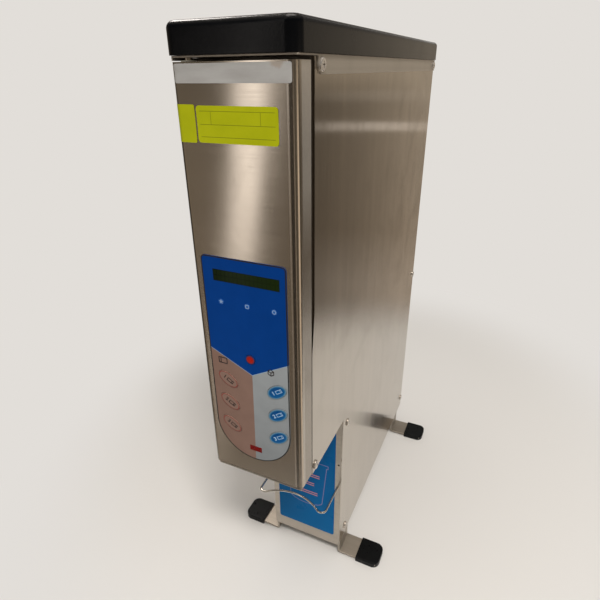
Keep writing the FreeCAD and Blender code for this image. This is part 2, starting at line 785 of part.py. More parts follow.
def switch_parts():
    """A rocker switch: the housing, and the rocker at one end of its tilt."""
    wide = switch_half_width
    tall = switch_half_height
    side_wall = 1.5
    end_wall = 1.0
    axle_radius = 1.5
    axle_half = 5.8
    axle_y = cover_face - 2.5
    flange = box(-wide - 2.0, wide + 2.0, cover_face, cover_face + 1.4, switch_height - tall - 2.5,
                 switch_height + tall + 2.5)
    body = box(-wide, wide, cover_face - 16.0, cover_face, switch_height - tall, switch_height + tall)
    cavity = box(side_wall - wide, wide - side_wall, cover_face - 12.0, cover_face + 2,
                 switch_height - tall + end_wall, switch_height + tall - end_wall)
    axle_bore = cylinder_x(axle_y, switch_height, axle_radius + running_gap,
                           -axle_half - 0.2, axle_half + 0.2)
    save("switch_housing", join(flange, body).cut([cavity, axle_bore]))

    rocker_half_width = 4.6
    rocker_half_height = 8.0
    rocker_back = cover_face - 4.0
    rocker_end = cover_face + 1.6
    rocker_middle = cover_face + 0.6
    profile = [(-rocker_half_height, rocker_back), (rocker_half_height, rocker_back),
               (rocker_half_height, rocker_end), (0.0, rocker_middle), (-rocker_half_height, rocker_end)]
    points = [Vector(-rocker_half_width, y, switch_height + z) for z, y in profile]
    axle = cylinder_x(axle_y, switch_height, axle_radius, -axle_half, axle_half)
    rocker = join(prism(points, X_AXIS * 2 * rocker_half_width), axle)
    rocker.rotate(Vector(0, axle_y, switch_height), X_AXIS, -rocker_tilt)
    save("power_rocker", rocker)


def door_pan():
    """The folded door: a front with two side returns, a top and a bottom."""
    front_bend = lambda edge: runs_along(edge, Z_AXIS) and edge.CenterOfMass.y < 2
    outer = box(door_left, cabinet_half, 0.0, door_depth, door_bottom, door_top)
    outer = rounded(outer, door_bend, front_bend)
    half = cabinet_half - sheet
    inner = box(door_left + sheet, half, sheet, door_depth + 5, door_bottom + sheet, door_top - sheet)
    inner = rounded(inner, door_bend - sheet, front_bend)
    swing_corner = box(door_left - 1, door_left + 4.0, door_left_depth, door_depth + 1,
                       door_bottom - 1, door_top + 1)
    pan = outer.cut([inner, swing_corner])
    strike_front = door_depth - 2.0
    strike = box(catch_left, half + 0.1, strike_front, strike_front + sheet,
                 catch_height, catch_height + catch_size)
    cuts = []
    for z0, z1 in ((door_bottom - 1, door_bottom + 3), (door_top - 3, door_top + 1)):
        cuts.append(cylinder_z(pivot_x, pivot_y, bush_radius, z0, z1))
    cuts.append(box(-window_half, window_half, -1.0, 3.0, window_bottom, window_top))
    for x in indicator_x:
        cuts.append(cylinder_y(x, indicator_height, indicator_radius, -1.0, 3.0))
    cuts.append(status_opening(-1.0, 3.0))
    save("door_pan", join(pan, strike).cut(cuts + key_openings(3.0)))


def status_opening(y0, y1):
    return box(status_x - status_half_width, status_x + status_half_width, y0, y1,
               status_height - status_half_height, status_height + status_half_height)


def key_openings(depth):
    """The openings that the keys move in."""
    openings = []
    for x, half_length, half_width, tilt in key_columns.values():
        for z in key_heights:
            openings.append(oval_y(x, z, half_length + key_gap, half_width + key_gap, tilt, -1.0, depth))
    openings.append(cylinder_y(0.0, stop_key_height, stop_key_radius + key_gap, -1.0, depth))
    return openings


def pivot_parts():
    bushes_made = []
    for z0, z1, flange0, flange1 in (
        (door_bottom - 1.7, door_bottom + 4.0, door_bottom - 1.7, door_bottom),
        (door_top - 4.0, door_top + 1.0, door_top, door_top + 1.0),
    ):
        body = cylinder_z(pivot_x, pivot_y, bush_radius, z0, z1)
        flange = cylinder_z(pivot_x, pivot_y, bush_radius + 1.4, flange0, flange1)
        bore = cylinder_z(pivot_x, pivot_y, pivot_radius + running_gap, z0 - 1, z1 + 1)
        bushes_made.append(join(body, flange).cut(bore))
    save("door_bushes", *bushes_made)

    head = pivot_radius + 1.6
    lower = join(cylinder_z(pivot_x, pivot_y, pivot_radius, head_bottom, door_bottom + 8.0),
                 cylinder_z(pivot_x, pivot_y, head, head_bottom - 1.5, head_bottom))
    upper = join(cylinder_z(pivot_x, pivot_y, pivot_radius, door_top - 8.0, deck_top),
                 cylinder_z(pivot_x, pivot_y, head, deck_top, deck_top + 1.5))
    save("door_pivot_pins", lower, upper)


def magnet_catch():
    margin = 1.0
    width = 13.0
    case = box(catch_left, catch_left + width, door_depth - 0.4, bulkhead_front,
               catch_height + margin, catch_height + catch_size - margin)
    save("magnet_catch", case)


def keypad_overlay():
    """The printed sheet on the door: straight sides over a half-round end."""
    radius = (overlay_right - overlay_left) / 2
    middle = (overlay_right + overlay_left) / 2
    lowest = 274.0
    top_radius = 4.0
    centre_z = lowest + radius
    sheet_box = box(overlay_left, overlay_right, -overlay_thickness, 0.0, centre_z, overlay_top)
    top_corner = lambda edge: runs_along(edge, Y_AXIS) and edge.CenterOfMass.z > overlay_top - 1
    sheet_box = rounded(sheet_box, top_radius, top_corner)
    end = cylinder_y(middle, centre_z, radius, -overlay_thickness, 0.0)
    cuts = key_openings(1.0)
    cuts.append(box(-window_half, window_half, -1.0, 1.0, window_bottom, window_top))
    for x in indicator_x:
        cuts.append(cylinder_y(x, indicator_height, indicator_radius, -1.0, 1.0))
    cuts.append(status_opening(-1.0, 1.0))
    save("keypad_overlay", join(sheet_box, end).cut(cuts))


def lenses():
    front = -overlay_thickness
    save("display_window", box(-window_half, window_half, front, 2.0, window_bottom, window_top))
    save("indicator_lenses",
         *[cylinder_y(x, indicator_height, indicator_radius, front - 0.2, 2.5) for x in indicator_x])
    save("status_lens", status_opening(front - 0.2, 2.5))


def door_electronics():
    board_half = 40.0
    board_bottom = 275.0
    board_top = 458.0
    board_thickness = 1.6
    glass_front = 2.2
    bezel_front = 5.0
    backing_front = 9.0
    display_middle = (window_bottom + window_top) / 2

    def around_display(half_width, half_height, front, rear):
        return box(-half_width, half_width, front, rear,
                   display_middle - half_height, display_middle + half_height)

    glass = around_display(34.0, 8.5, glass_front, bezel_front)
    bezel = around_display(36.0, 13.0, bezel_front, backing_front)
    backing = around_display(board_half, 18.0, backing_front, backing_front + board_thickness)
    save("display_module", join(glass, bezel, backing))

    def square(x, z, half, front):
        """A small part that stands out from the front of the board."""
        return box(x - half, x + half, front, board_y, z - half, z + half)

    board = box(-board_half, board_half, board_y, board_y + board_thickness, board_bottom, board_top)
    switch_half = 3.0
    switch_front = board_y - switch_height_on_board
    lamp_half = 2.0
    lamp_front = switch_front - 2.5
    fronts = [square(0.0, stop_key_height, switch_half, switch_front)]
    for x, *_ in key_columns.values():
        fronts += [square(x, z, switch_half, switch_front) for z in key_heights]
    fronts += [square(x, indicator_height, lamp_half, lamp_front) for x in indicator_x]
    back = board_y + board_thickness
    relay_half = 8.0
    relay_pitch = 22.0
    processor = box(-10.0, 10.0, back, back + 2.5, 350.0, 370.0)
    relays = [box(x - relay_half, x + relay_half, back, back + 10.0, 300.0, 320.0)
              for x in (-relay_pitch, 0.0, relay_pitch)]
    connector = box(-20.0, 20.0, back, back + 8.0, 425.0, 434.0)
    save("control_board", join(board, processor, connector, *fronts, *relays))

    standoff_radius = 2.6
    standoff_x = 36.0
    standoffs = []
    for x in (-standoff_x, standoff_x):
        for z in (280.0, 385.0, 453.0):
            standoffs.append(cylinder_y(x, z, standoff_radius, sheet, board_y))
    save("board_standoffs", *standoffs)


def keys():
    """Keys with a retaining flange behind the door and a stem towards the board."""
    front = -overlay_thickness - key_front
    flange_front = sheet + 0.1
    flange_rear = flange_front + 1.0
    stem_radius = 3.0
    stem_rear = board_y - switch_height_on_board - key_travel - 0.1
    front_rim = lambda edge: abs(edge.CenterOfMass.y - front) < 0.05 and edge.Length > 20
    for name, (x, half_length, half_width, tilt) in key_columns.items():
        for number, z in enumerate(key_heights, 1):
            cap = oval_y(x, z, half_length, half_width, tilt, front, flange_front)
            cap = rounded(cap, 0.3, front_rim)
            flange = oval_y(x, z, half_length + key_flange, half_width + key_flange, tilt,
                            flange_front, flange_rear)
            stem = cylinder_y(x, z, stem_radius, flange_front, stem_rear)
            save("key_%s_%d" % (name, number), join(cap, flange, stem))
    cap = cylinder_y(0.0, stop_key_height, stop_key_radius, front, flange_front)
    cap = rounded(cap, 0.3, front_rim)
    flange = cylinder_y(0.0, stop_key_height, stop_key_radius + key_flange, flange_front, flange_rear)
    stem = cylinder_y(0.0, stop_key_height, stem_radius, flange_front, stem_rear)
    save("key_stop", join(cap, flange, stem))


def lid_shell():
    outer = box(lid_left, lid_right, lid_front, lid_rear, lid_bottom, lid_top)
    outer = rounded(outer, lid_corner, lambda edge: runs_along(edge, Z_AXIS))
    outer = rounded(outer, lid_edge, lambda edge: abs(edge.CenterOfMass.z - lid_top) < 0.1)
    ceiling = lid_top - lid_wall
    inner = box(lid_left + lid_wall, lid_right - lid_wall, lid_front + lid_wall, lid_rear - lid_wall,
                lid_bottom - 1, ceiling)
    inner = rounded(inner, lid_corner - lid_wall, lambda edge: runs_along(edge, Z_AXIS))
    pad_front = lid_hinge_y - lid_knuckle + hinge_leaf
    pad = box(-hinge_half - 2, hinge_half + 2, pad_front, lid_rear - 1, lid_bottom, ceiling + 0.5)
    ribs = []
    rib_bottom = 658.0
    rib_thickness = 2.4
    for y in (66.8, 222.8, 378.8):
        ribs.append(box(lid_left + 2, lid_right - 2, y, y + rib_thickness, rib_bottom, ceiling + 0.5))
    knuckle_notch = box(-hinge_half - 1, hinge_half + 1, lid_hinge_y - 6, lid_rear + 1, lid_bottom - 1,
                        lid_bottom + 1)
    shell = join(outer.cut(inner), pad, *ribs).cut(knuckle_notch)
    save("lid_shell", shell)

    seal_bottom = deck_top + 5.2
    seal_half = 47.0
    seal_front = 61.0
    seal_rear = 386.0
    seal_rim = 8.0
    window_half_width = 17.0
    windows = []
    for x in lanes.values():
        windows.append(box(x - window_half_width, x + window_half_width,
                           seal_front + seal_rim, seal_rear - seal_rim,
                           seal_bottom - 1, rib_bottom + 1))
    seal = box(-seal_half, seal_half, seal_front, seal_rear, seal_bottom, rib_bottom)
    save("lid_seal", seal.cut(windows))


def knuckle_spans(first):
    """Every other fifth of the hinge's length, from the given fifth."""
    count = 5
    length = 2 * hinge_half / count
    gap = 0.2
    spans = []
    for index in range(first, count, 2):
        spans.append((-hinge_half + index * length + gap, -hinge_half + (index + 1) * length - gap))
    return spans


def hinge_half_part(spans, bore, leaf):
    """A leaf with its knuckles about the lid's pin."""
    parts = [leaf]
    for start, end in spans:
        parts.append(cylinder_x(lid_hinge_y, lid_hinge_z, lid_knuckle, start, end))
        parts.append(box(start, end, lid_hinge_y - lid_knuckle, lid_hinge_y - lid_knuckle + hinge_leaf,
                         min(lid_hinge_z, leaf.BoundBox.ZMin), max(lid_hinge_z, leaf.BoundBox.ZMax)))
    return join(*parts).cut(cylinder_x(lid_hinge_y, lid_hinge_z, bore, -hinge_half - 1, hinge_half + 1))


def lid_hinge():
    leaf_front = lid_hinge_y - lid_knuckle
    fixed_leaf = box(-hinge_half, hinge_half, leaf_front - 0.2, leaf_front + hinge_leaf,
                     lid_hinge_z - 14, lid_hinge_z - lid_knuckle - 0.4)
    moving_leaf = box(-hinge_half, hinge_half, leaf_front, leaf_front + hinge_leaf,
                      lid_hinge_z + lid_knuckle + 0.4, lid_hinge_z + 16)
    save("lid_hinge_fixed_leaf", hinge_half_part(knuckle_spans(0), lid_pin_radius, fixed_leaf))
    save("lid_hinge_moving_leaf",
         hinge_half_part(knuckle_spans(1), lid_pin_radius + running_gap, moving_leaf))
    save("lid_hinge_pin", cylinder_x(lid_hinge_y, lid_hinge_z, lid_pin_radius, -hinge_half, hinge_half))


def main():
    os.makedirs("parts", exist_ok=True)
    side_panels()
    front_bulkhead()
    head_floor()
    column_front_plate()
    splash_label()
    base_pan()
    mid_shelf()
    rear_cover()
    top_deck()
    panel_screws()
    legs()
    cup_guide()
    hoppers()
    bushes()
    product_drive()
    motors()
    discharge_chute()
    power_parts()
    switch_parts()
    door_pan()
    pivot_parts()
    magnet_catch()
    keypad_overlay()
    lenses()
    door_electronics()
    keys()
    lid_shell()
    lid_hinge()


main()
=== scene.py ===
import math

import bmesh
import bpy
from mathutils import Matrix, Vector

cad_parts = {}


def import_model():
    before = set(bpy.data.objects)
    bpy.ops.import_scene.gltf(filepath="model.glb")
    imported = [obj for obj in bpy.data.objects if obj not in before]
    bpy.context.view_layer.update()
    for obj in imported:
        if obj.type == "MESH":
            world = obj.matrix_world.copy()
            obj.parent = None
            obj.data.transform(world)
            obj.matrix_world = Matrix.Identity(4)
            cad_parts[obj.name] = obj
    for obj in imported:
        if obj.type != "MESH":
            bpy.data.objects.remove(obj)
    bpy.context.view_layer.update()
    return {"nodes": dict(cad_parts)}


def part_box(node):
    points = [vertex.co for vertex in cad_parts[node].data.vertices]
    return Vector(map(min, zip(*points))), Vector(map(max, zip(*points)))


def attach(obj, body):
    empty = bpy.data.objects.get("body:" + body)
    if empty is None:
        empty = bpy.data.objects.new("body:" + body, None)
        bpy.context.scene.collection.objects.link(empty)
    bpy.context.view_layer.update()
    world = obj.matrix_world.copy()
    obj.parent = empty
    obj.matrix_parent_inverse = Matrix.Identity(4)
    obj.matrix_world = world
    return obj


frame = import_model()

# Lengths are in metres. x runs to the right seen from the front, y to the back and z up.
MM = 0.001
nodes = frame["nodes"]

# Places read from the frame
door_low, door_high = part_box("door_pan")
film_low, film_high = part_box("keypad_overlay")
window_low, window_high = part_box("display_window")
label_low, label_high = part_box("splash_label")
DOOR_FACE = door_low.y
FILM_FACE = film_low.y
LABEL_FACE = label_low.y
DOOR_BEND = 6 * MM

# Keypad film: the blue field ends in a V, and an upright line parts the two lower fields
V_MIDDLE_X = 0.8 * MM
V_MIDDLE_Z = 379.8 * MM
V_SLOPE_LEFT = (401.3 - 379.8) / 45.3
V_SLOPE_RIGHT = (400.8 - 379.8) / 38.7

# Camera, solved from the straight edges of the cabinet
CAMERA_PLACE = Vector((0.20218, -0.55273, 0.63836))
CAMERA_AZIMUTH = math.radians(25.382)
CAMERA_ELEVATION = math.radians(25.806)
CAMERA_ROLL = math.radians(-0.782)
CAMERA_LENS = 28.506


def tone(red, green, blue):
    """A colour given as it shows on a screen, 0 to 255."""
    def linear(value):
        share = value / 255
        return share / 12.92 if share <= 0.04045 else ((share + 0.055) / 1.055) ** 2.4
    return linear(red), linear(green), linear(blue), 1.0


class Graph:
    """A node tree built from short calls that each return a socket."""

    def __init__(self, tree):
        self.tree = tree

    def node(self, kind, inputs=None, **settings):
        made = self.tree.nodes.new(kind)
        for key, value in settings.items():
            setattr(made, key, value)
        for socket, value in (inputs or {}).items():
            self.put(made.inputs[socket], value)
        return made

    def put(self, socket, value):
        if isinstance(value, bpy.types.NodeSocket):
            self.tree.links.new(value, socket)
        else:
            socket.default_value = value

    def calc(self, operation, *values):
        return self.node("ShaderNodeMath", dict(enumerate(values)), operation=operation).outputs[0]

    def total(self, *values):
        result = values[0]
        for value in values[1:]:
            result = self.calc("ADD", result, value)
        return result

    def fit(self, value, low, high, to_low=0.0, to_high=1.0):
        """The value moved from one range to another and held at both ends."""
        return self.node("ShaderNodeMapRange", {
            "Value": value, "From Min": low, "From Max": high,
            "To Min": to_low, "To Max": to_high}).outputs[0]

    def near(self, value, middle, outer, inner):
        """1 within the inner distance of a middle value, and 0 past the outer distance."""
        return self.fit(self.calc("ABSOLUTE", self.calc("SUBTRACT", value, middle)), outer, inner)

    def product(self, first, second):
        return self.calc("MULTIPLY", first, second)

    def mix(self, share, first, second):
        """A blend of two colours."""
        return self.node("ShaderNodeMix", {0: share, 6: first, 7: second}, data_type="RGBA").outputs[2]

    def times(self, colour, value):
        """A colour made brighter or darker by a number."""
        return self.node("ShaderNodeVectorMath", {0: colour, "Scale": value}, operation="SCALE").outputs[0]

    def axes(self, vector):
        return self.node("ShaderNodeSeparateXYZ", {0: vector}).outputs

    def ramp(self, value, stops):
        """Colours at given values, blended between them."""
        made = self.node("ShaderNodeValToRGB", {0: value})
        points = made.color_ramp.elements
        while len(points) < len(stops):
            points.new(0.5)
        for point, (place, colour) in zip(points, stops):
            point.position = place
            point.color = colour
        return made.outputs[0]


class Shader(Graph):
    """A material on one principled surface, placed by the object's own coordinates."""

    def __init__(self, name, **settings):
        self.material = bpy.data.materials.new(name)
        self.material.use_nodes = True
        super().__init__(self.material.node_tree)
        self.surface = self.tree.nodes["Principled BSDF"]
        self.place = self.node("ShaderNodeTexCoord").outputs["Object"]
        for key, value in settings.items():
            self.set(key.replace("_", " "), value)

    def set(self, socket, value):
        self.put(self.surface.inputs[socket], value)

    def scaled(self, stretch):
        return self.node("ShaderNodeVectorMath", {0: self.place, 1: stretch}, operation="MULTIPLY").outputs[0]

    def noise(self, stretch, detail=2.0, roughness=0.5, distortion=0.0):
        """Noise with the given number of features a metre along x, y and z."""
        if not isinstance(stretch, tuple):
            stretch = (stretch, stretch, stretch)
        return self.node("ShaderNodeTexNoise", {
            "Vector": self.scaled(stretch), "Scale": 1.0, "Detail": detail, "Roughness": roughness,
            "Distortion": distortion}).outputs[0]

    def cells(self, count):
        """Distance to the middle of the nearest of many small cells."""
        return self.node("ShaderNodeTexVoronoi", {"Vector": self.place, "Scale": count}).outputs[0]

    def bump(self, height, depth, strength=1.0):
        made = self.node("ShaderNodeBump", {"Height": height, "Distance": depth, "Strength": strength})
        self.set("Normal", made.outputs[0])

    def above(self, value, limit, soft=0.05 * MM):
        """1 where the value passes the limit, with a soft edge."""
        return self.fit(value, limit - soft, limit + soft)


def brush_vector(along, fine, coarse):
    """Features a metre for lines that run along one axis."""
    return tuple(coarse if axis == along else fine for axis in "xyz")


def brushed_steel(name, along, spin, shade, roughness, anisotropy, smudge=1.0, streaks=0.05, metal=1.0):
    """Brushed stainless steel: fine lines along one axis, faint hand marks and a streaked gloss."""
    s = Shader(name, Metallic=metal, Anisotropic=anisotropy, Anisotropic_Rotation=spin)
    s.set("Tangent", s.node("ShaderNodeTangent", direction_type="RADIAL", axis="Z").outputs[0])
    fine = s.noise(brush_vector(along, 2400.0, 22.0), 3.0)
    broad = s.noise(brush_vector(along, 240.0, 2.0), 3.0)
    wide = s.noise(brush_vector(along, 38.0, 0.7), 3.0)
    marks = s.noise(17.0, 4.0, 0.6, 0.6)
    spots = s.noise(140.0, 2.0)
    dark = tuple(value * (1 - 2 * streaks) for value in shade[:3]) + (1.0,)
    light = tuple(min(1.0, value * (1 + 2 * streaks)) for value in shade[:3]) + (1.0,)
    share = s.total(s.product(fine, 0.3), s.product(broad, 0.3), s.product(wide, 0.4))
    lines = s.mix(s.fit(share, 0.36, 0.64), dark, light)
    grime = s.fit(marks, 0.52, 0.74, 0.0, 0.1 * smudge)
    s.set("Base Color", s.mix(grime, lines, tone(118, 104, 88)))
    gloss = s.fit(fine, 0.3, 0.7, -0.03, 0.03)
    haze = s.fit(marks, 0.42, 0.72, -0.01, 0.04 * smudge)
    speck = s.fit(spots, 0.64, 0.76, 0.0, 0.04 * smudge)
    s.set("Roughness", s.total(gloss, haze, speck, roughness))
    s.bump(fine, 0.004 * MM, 0.35)
    return s.material


def door_sheet(name, shade):
    """The door's brushed steel, with a painted highlight beside its right bend and painted light on the
    return behind it: a paler colour low down and less metal high up.
    """
    material = brushed_steel(name, "x", LEVEL_SPIN, shade, 0.2, 0.944, 0.7, 0.02)
    g = Graph(material.node_tree)
    surface = g.tree.nodes["Principled BSDF"]
    x, y, z = g.axes(g.node("ShaderNodeTexCoord").outputs["Object"])
    lines = surface.inputs["Base Color"].links[0].from_socket
    # Painted highlight: a pale line on the face beside the right bend
    bend_highlight = g.product(g.near(x, BEND_HIGHLIGHT_X, 1.0 * MM, 0.4 * MM),
                       g.fit(y, DOOR_FACE + 0.6 * MM, DOOR_FACE + 0.3 * MM))
    side = g.product(g.fit(x, door_high.x - 0.5 * MM, door_high.x - 0.1 * MM),
                     g.fit(y, DOOR_FACE + 7.5 * MM, DOOR_FACE + 9.0 * MM))
    # Painted light on the return: less metal high up and a paler colour low down, so that it renders lighter
    upper_return_light = g.product(side, g.fit(z, 500 * MM, 560 * MM))
    lower = g.product(side, g.fit(z, 440 * MM, 380 * MM))
    pale = g.mix(g.product(bend_highlight, 0.7), lines, tone(246, 240, 232))
    g.put(surface.inputs["Base Color"], g.mix(g.product(lower, 0.6), pale, tone(148, 138, 126)))
    g.put(surface.inputs["Metallic"], g.fit(upper_return_light, 0.0, 1.0, 1.0, 0.74))
    return material


def mill_steel(name, shade, roughness=0.42):
    """Plain sheet inside the cabinet: duller, with faint rolling lines and blotches."""
    s = Shader(name, Metallic=1.0)
    lines = s.noise((14.0, 700.0, 14.0), 2.0)
    blotch = s.noise(35.0, 4.0, 0.6)
    dark = tuple(value * 0.8 for value in shade[:3]) + (1.0,)
    s.set("Base Color", s.mix(s.fit(blotch, 0.3, 0.75), shade, dark))
    s.set("Roughness", s.total(s.fit(blotch, 0.3, 0.7, -0.06, 0.08),
                               s.fit(lines, 0.3, 0.7, -0.03, 0.03), roughness))
    s.bump(blotch, 0.02 * MM, 0.3)
    return s.material


def bright_metal(name, shade, roughness, scratch=0.05, metal=1.0):
    """Plated or turned metal with faint scratches."""
    s = Shader(name, Metallic=metal)
    marks = s.noise((900.0, 60.0, 900.0), 3.0)
    dull = s.noise(220.0, 3.0)
    dark = tuple(value * 0.72 for value in shade[:3]) + (1.0,)
    s.set("Base Color", s.mix(s.fit(dull, 0.45, 0.8), shade, dark))
    s.set("Roughness", s.total(s.fit(marks, 0.3, 0.7, -scratch, scratch),
                               s.fit(dull, 0.4, 0.7, 0.0, 0.06), roughness))
    s.bump(marks, 0.004 * MM, 0.4)
    return s.material


def moulded(name, shade, roughness, grain, depth=0.02 * MM):
    """Moulded plastic: fine grain, uneven gloss and paler rubbed places."""
    s = Shader(name)
    pebble = s.cells(grain)
    cloud = s.noise(45.0, 3.0)
    rub = s.noise(160.0, 4.0, 0.65)
    pale = tuple(min(1.0, value * 1.25 + 0.01) for value in shade[:3]) + (1.0,)
    tint = s.mix(s.fit(cloud, 0.35, 0.7), shade, tuple(value * 0.85 for value in shade[:3]) + (1.0,))
    s.set("Base Color", s.mix(s.fit(rub, 0.62, 0.8, 0.0, 0.5), tint, pale))
    s.set("Roughness", s.total(s.fit(cloud, 0.3, 0.7, -0.05, 0.05),
                               s.fit(rub, 0.5, 0.8, 0.0, 0.1), roughness))
    s.bump(s.total(pebble, s.product(rub, 0.3)), depth, 0.6)
    return s.material


def lid_plastic():
    """Black moulded cover with a leather-like grain that breaks up its highlights."""
    s = Shader("lid_black")
    grain = s.cells(620.0)
    pores = s.noise(1500.0, 2.0)
    cloud = s.noise(26.0, 4.0, 0.6)
    dust = s.noise(420.0, 4.0, 0.7)
    s.set("Base Color", s.mix(s.fit(cloud, 0.35, 0.75), tone(3, 4, 6), tone(7, 8, 10)))
    s.set("Specular IOR Level", 0.2)
    s.set("Roughness", s.total(s.fit(cloud, 0.3, 0.7, -0.02, 0.05), s.fit(dust, 0.6, 0.8, 0.0, 0.12), 0.2))
    s.bump(s.total(grain, s.product(pores, 0.7)), 0.06 * MM, 0.5)
    return s.material


def cap_vinyl():
    """Dipped black vinyl, glossier than the lid."""
    s = Shader("cap_vinyl")
    ripple = s.noise(120.0, 3.0, 0.6)
    scuff = s.noise((500.0, 90.0, 500.0), 4.0, 0.7)
    s.set("Specular IOR Level", 0.2)
    s.set("Base Color", s.mix(s.fit(scuff, 0.6, 0.8, 0.0, 0.5), tone(5, 7, 9), tone(34, 34, 34)))
    s.set("Roughness", s.total(s.fit(ripple, 0.3, 0.7, -0.05, 0.08), s.fit(scuff, 0.55, 0.8, 0.0, 0.2), 0.3))
    s.bump(s.total(ripple, s.product(scuff, 0.3)), 0.15 * MM, 0.6)
    return s.material


def keypad_film():
    """Printed polyester: reverse-printed colours under a fine matt texture."""
    s = Shader("keypad_film")
    x, _, z = s.axes(s.place)
    from_middle = s.calc("SUBTRACT", x, V_MIDDLE_X)
    left_rise = s.product(from_middle, -V_SLOPE_LEFT)
    right_rise = s.product(from_middle, V_SLOPE_RIGHT)
    over_v = s.calc("SUBTRACT", z, s.calc("MAXIMUM", left_rise, right_rise))
    is_blue = s.above(over_v, V_MIDDLE_Z, 0.15 * MM)
    lean = s.product(s.calc("SUBTRACT", V_MIDDLE_Z, z), 0.02)
    is_right = s.above(s.calc("ADD", x, lean), V_MIDDLE_X)
    fade = s.fit(x, film_low.x, film_high.x)
    rose = s.mix(fade, tone(133, 105, 92), tone(139, 111, 99))
    grey = s.mix(s.fit(z, film_low.z, V_MIDDLE_Z), tone(137, 140, 141), tone(152, 155, 156))
    blue = s.mix(s.fit(z, V_MIDDLE_Z, film_high.z), tone(0, 59, 131), tone(0, 54, 124))
    grain = s.noise(1900.0, 2.0)
    cloud = s.noise(60.0, 3.0)
    border = s.near(over_v, V_MIDDLE_Z - 0.3 * MM, 0.4 * MM, 0.15 * MM)
    lower = s.mix(is_right, rose, grey)
    printed = s.mix(is_blue, s.mix(s.product(border, 0.8), lower, tone(140, 176, 204)), blue)
    s.set("Base Color", s.times(printed, s.fit(cloud, 0.3, 0.75, 0.95, 1.05)))
    s.set("Roughness", s.total(s.fit(cloud, 0.3, 0.7, -0.04, 0.06),
                               s.fit(grain, 0.3, 0.7, -0.04, 0.04), 0.36))
    s.set("Specular IOR Level", 0.06)
    s.bump(grain, 0.012 * MM, 0.5)
    return s.material


def oval_share(s, x0, z0, half_length, half_width, tilt):
    """0 in the middle of a tilted oval and 1 on its line."""
    x, _, z = s.axes(s.place)
    dx, dz = s.calc("SUBTRACT", x, x0), s.calc("SUBTRACT", z, z0)
    turn = math.radians(tilt)
    along = s.total(s.product(dx, math.cos(turn)), s.product(dz, math.sin(turn)))
    across = s.total(s.product(dx, -math.sin(turn)), s.product(dz, math.cos(turn)))
    squares = s.total(s.calc("POWER", s.calc("DIVIDE", along, half_length), 2.0),
                      s.calc("POWER", s.calc("DIVIDE", across, half_width), 2.0))
    return s.calc("SQRT", squares), across


def key_face(name, node, half_length, half_width, tilt, stops, lit_lower_colour):
    """A key printed in rings, from its middle out to its rim, with painted light that makes its lower part
    lighter.
    """
    low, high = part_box(node)
    s = Shader(name)
    s.set("Coat Weight", 0.08)
    s.set("Coat Roughness", 0.15)
    s.set("Specular IOR Level", 0.15)
    share, across = oval_share(s, (low.x + high.x) / 2, (low.z + high.z) / 2, half_length, half_width, tilt)
    rings = s.ramp(share, stops)
    # Painted light: the lower part of the key turns lighter
    lower = s.fit(across, half_width, -half_width, 0.0, 0.55)
    cloud = s.noise(300.0, 3.0)
    s.set("Base Color", s.mix(s.product(lower, s.fit(share, 0.95, 0.6)), rings, lit_lower_colour))
    s.set("Roughness", s.fit(cloud, 0.3, 0.7, 0.25, 0.36))
    s.bump(cloud, 0.02 * MM, 0.4)
    return s.material


def liquid_crystal():
    """Dark display glass with two rows of faint cells, and painted light that makes it brighter and greener
    towards the right.
    """
    s = Shader("display_glass")
    s.set("Specular IOR Level", 0.1)
    x, _, z = s.axes(s.place)
    columns, rows = 16, 2
    across = s.product(s.fit(x, window_low.x, window_high.x), float(columns))
    up = s.product(s.fit(z, window_low.z, window_high.z), float(rows))
    cell = s.product(s.near(s.calc("FRACT", across), 0.5, 0.42, 0.38),
                     s.near(s.calc("FRACT", up), 0.5, 0.42, 0.38))
    # Painted light: the glass grows brighter and greener towards the right
    glow = s.fit(x, window_low.x, window_high.x, 0.25, 1.0)
    base = s.mix(glow, tone(3, 12, 4), tone(22, 34, 8))
    s.set("Base Color", s.mix(s.product(cell, 0.25), base, tone(32, 48, 14)))
    s.set("Roughness", s.fit(s.noise(90.0, 3.0), 0.3, 0.7, 0.12, 0.22))
    return s.material


def lens(name, shade, inner):
    """A small moulded lens whose colour runs from its inner shade in the middle of small facets to its outer
    shade between them.
    """
    s = Shader(name)
    s.set("Coat Weight", 0.1)
    s.set("Coat Roughness", 0.1)
    s.set("Specular IOR Level", 0.2)
    facets = s.cells(1100.0)
    cloud = s.noise(400.0, 3.0)
    s.set("Base Color", s.mix(s.fit(s.total(facets, cloud), 0.4, 1.2), inner, shade))
    s.set("Roughness", s.fit(cloud, 0.3, 0.7, 0.18, 0.32))
    s.bump(facets, 0.05 * MM, 0.4)
    return s.material


def printed_label():
    """Blue printed vinyl behind the cup."""
    s = Shader("label_blue")
    x, _, z = s.axes(s.place)
    cloud = s.noise(40.0, 4.0, 0.6)
    splash = s.noise(260.0, 4.0, 0.7)
    base = s.mix(s.fit(z, label_low.z, label_high.z), tone(0, 94, 150), tone(0, 80, 134))
    faded = s.mix(s.fit(cloud, 0.4, 0.75, 0.0, 0.3), base, tone(6, 96, 148))
    s.set("Specular IOR Level", 0.06)
    s.set("Base Color", s.mix(s.fit(splash, 0.68, 0.8, 0.0, 0.2), faded, tone(110, 150, 180)))
    s.set("Roughness", s.total(s.fit(cloud, 0.3, 0.7, -0.05, 0.08), s.fit(splash, 0.6, 0.8, 0.0, 0.15), 0.3))
    s.bump(s.noise(1200.0, 2.0), 0.01 * MM, 0.4)
    return s.material


def ink(name, shade):
    """A printed mark: slightly uneven ink."""
    s = Shader(name)
    speck = s.noise(2600.0, 3.0, 0.7)
    edge = s.noise(500.0, 3.0)
    worn = tuple(min(1.0, value * 0.8 + 0.03) for value in shade[:3]) + (1.0,)
    s.set("Base Color", s.mix(s.fit(speck, 0.55, 0.8, 0.0, 0.6), shade, worn))
    s.set("Roughness", s.fit(edge, 0.3, 0.7, 0.42, 0.58))
    s.bump(speck, 0.01 * MM, 0.3)
    return s.material


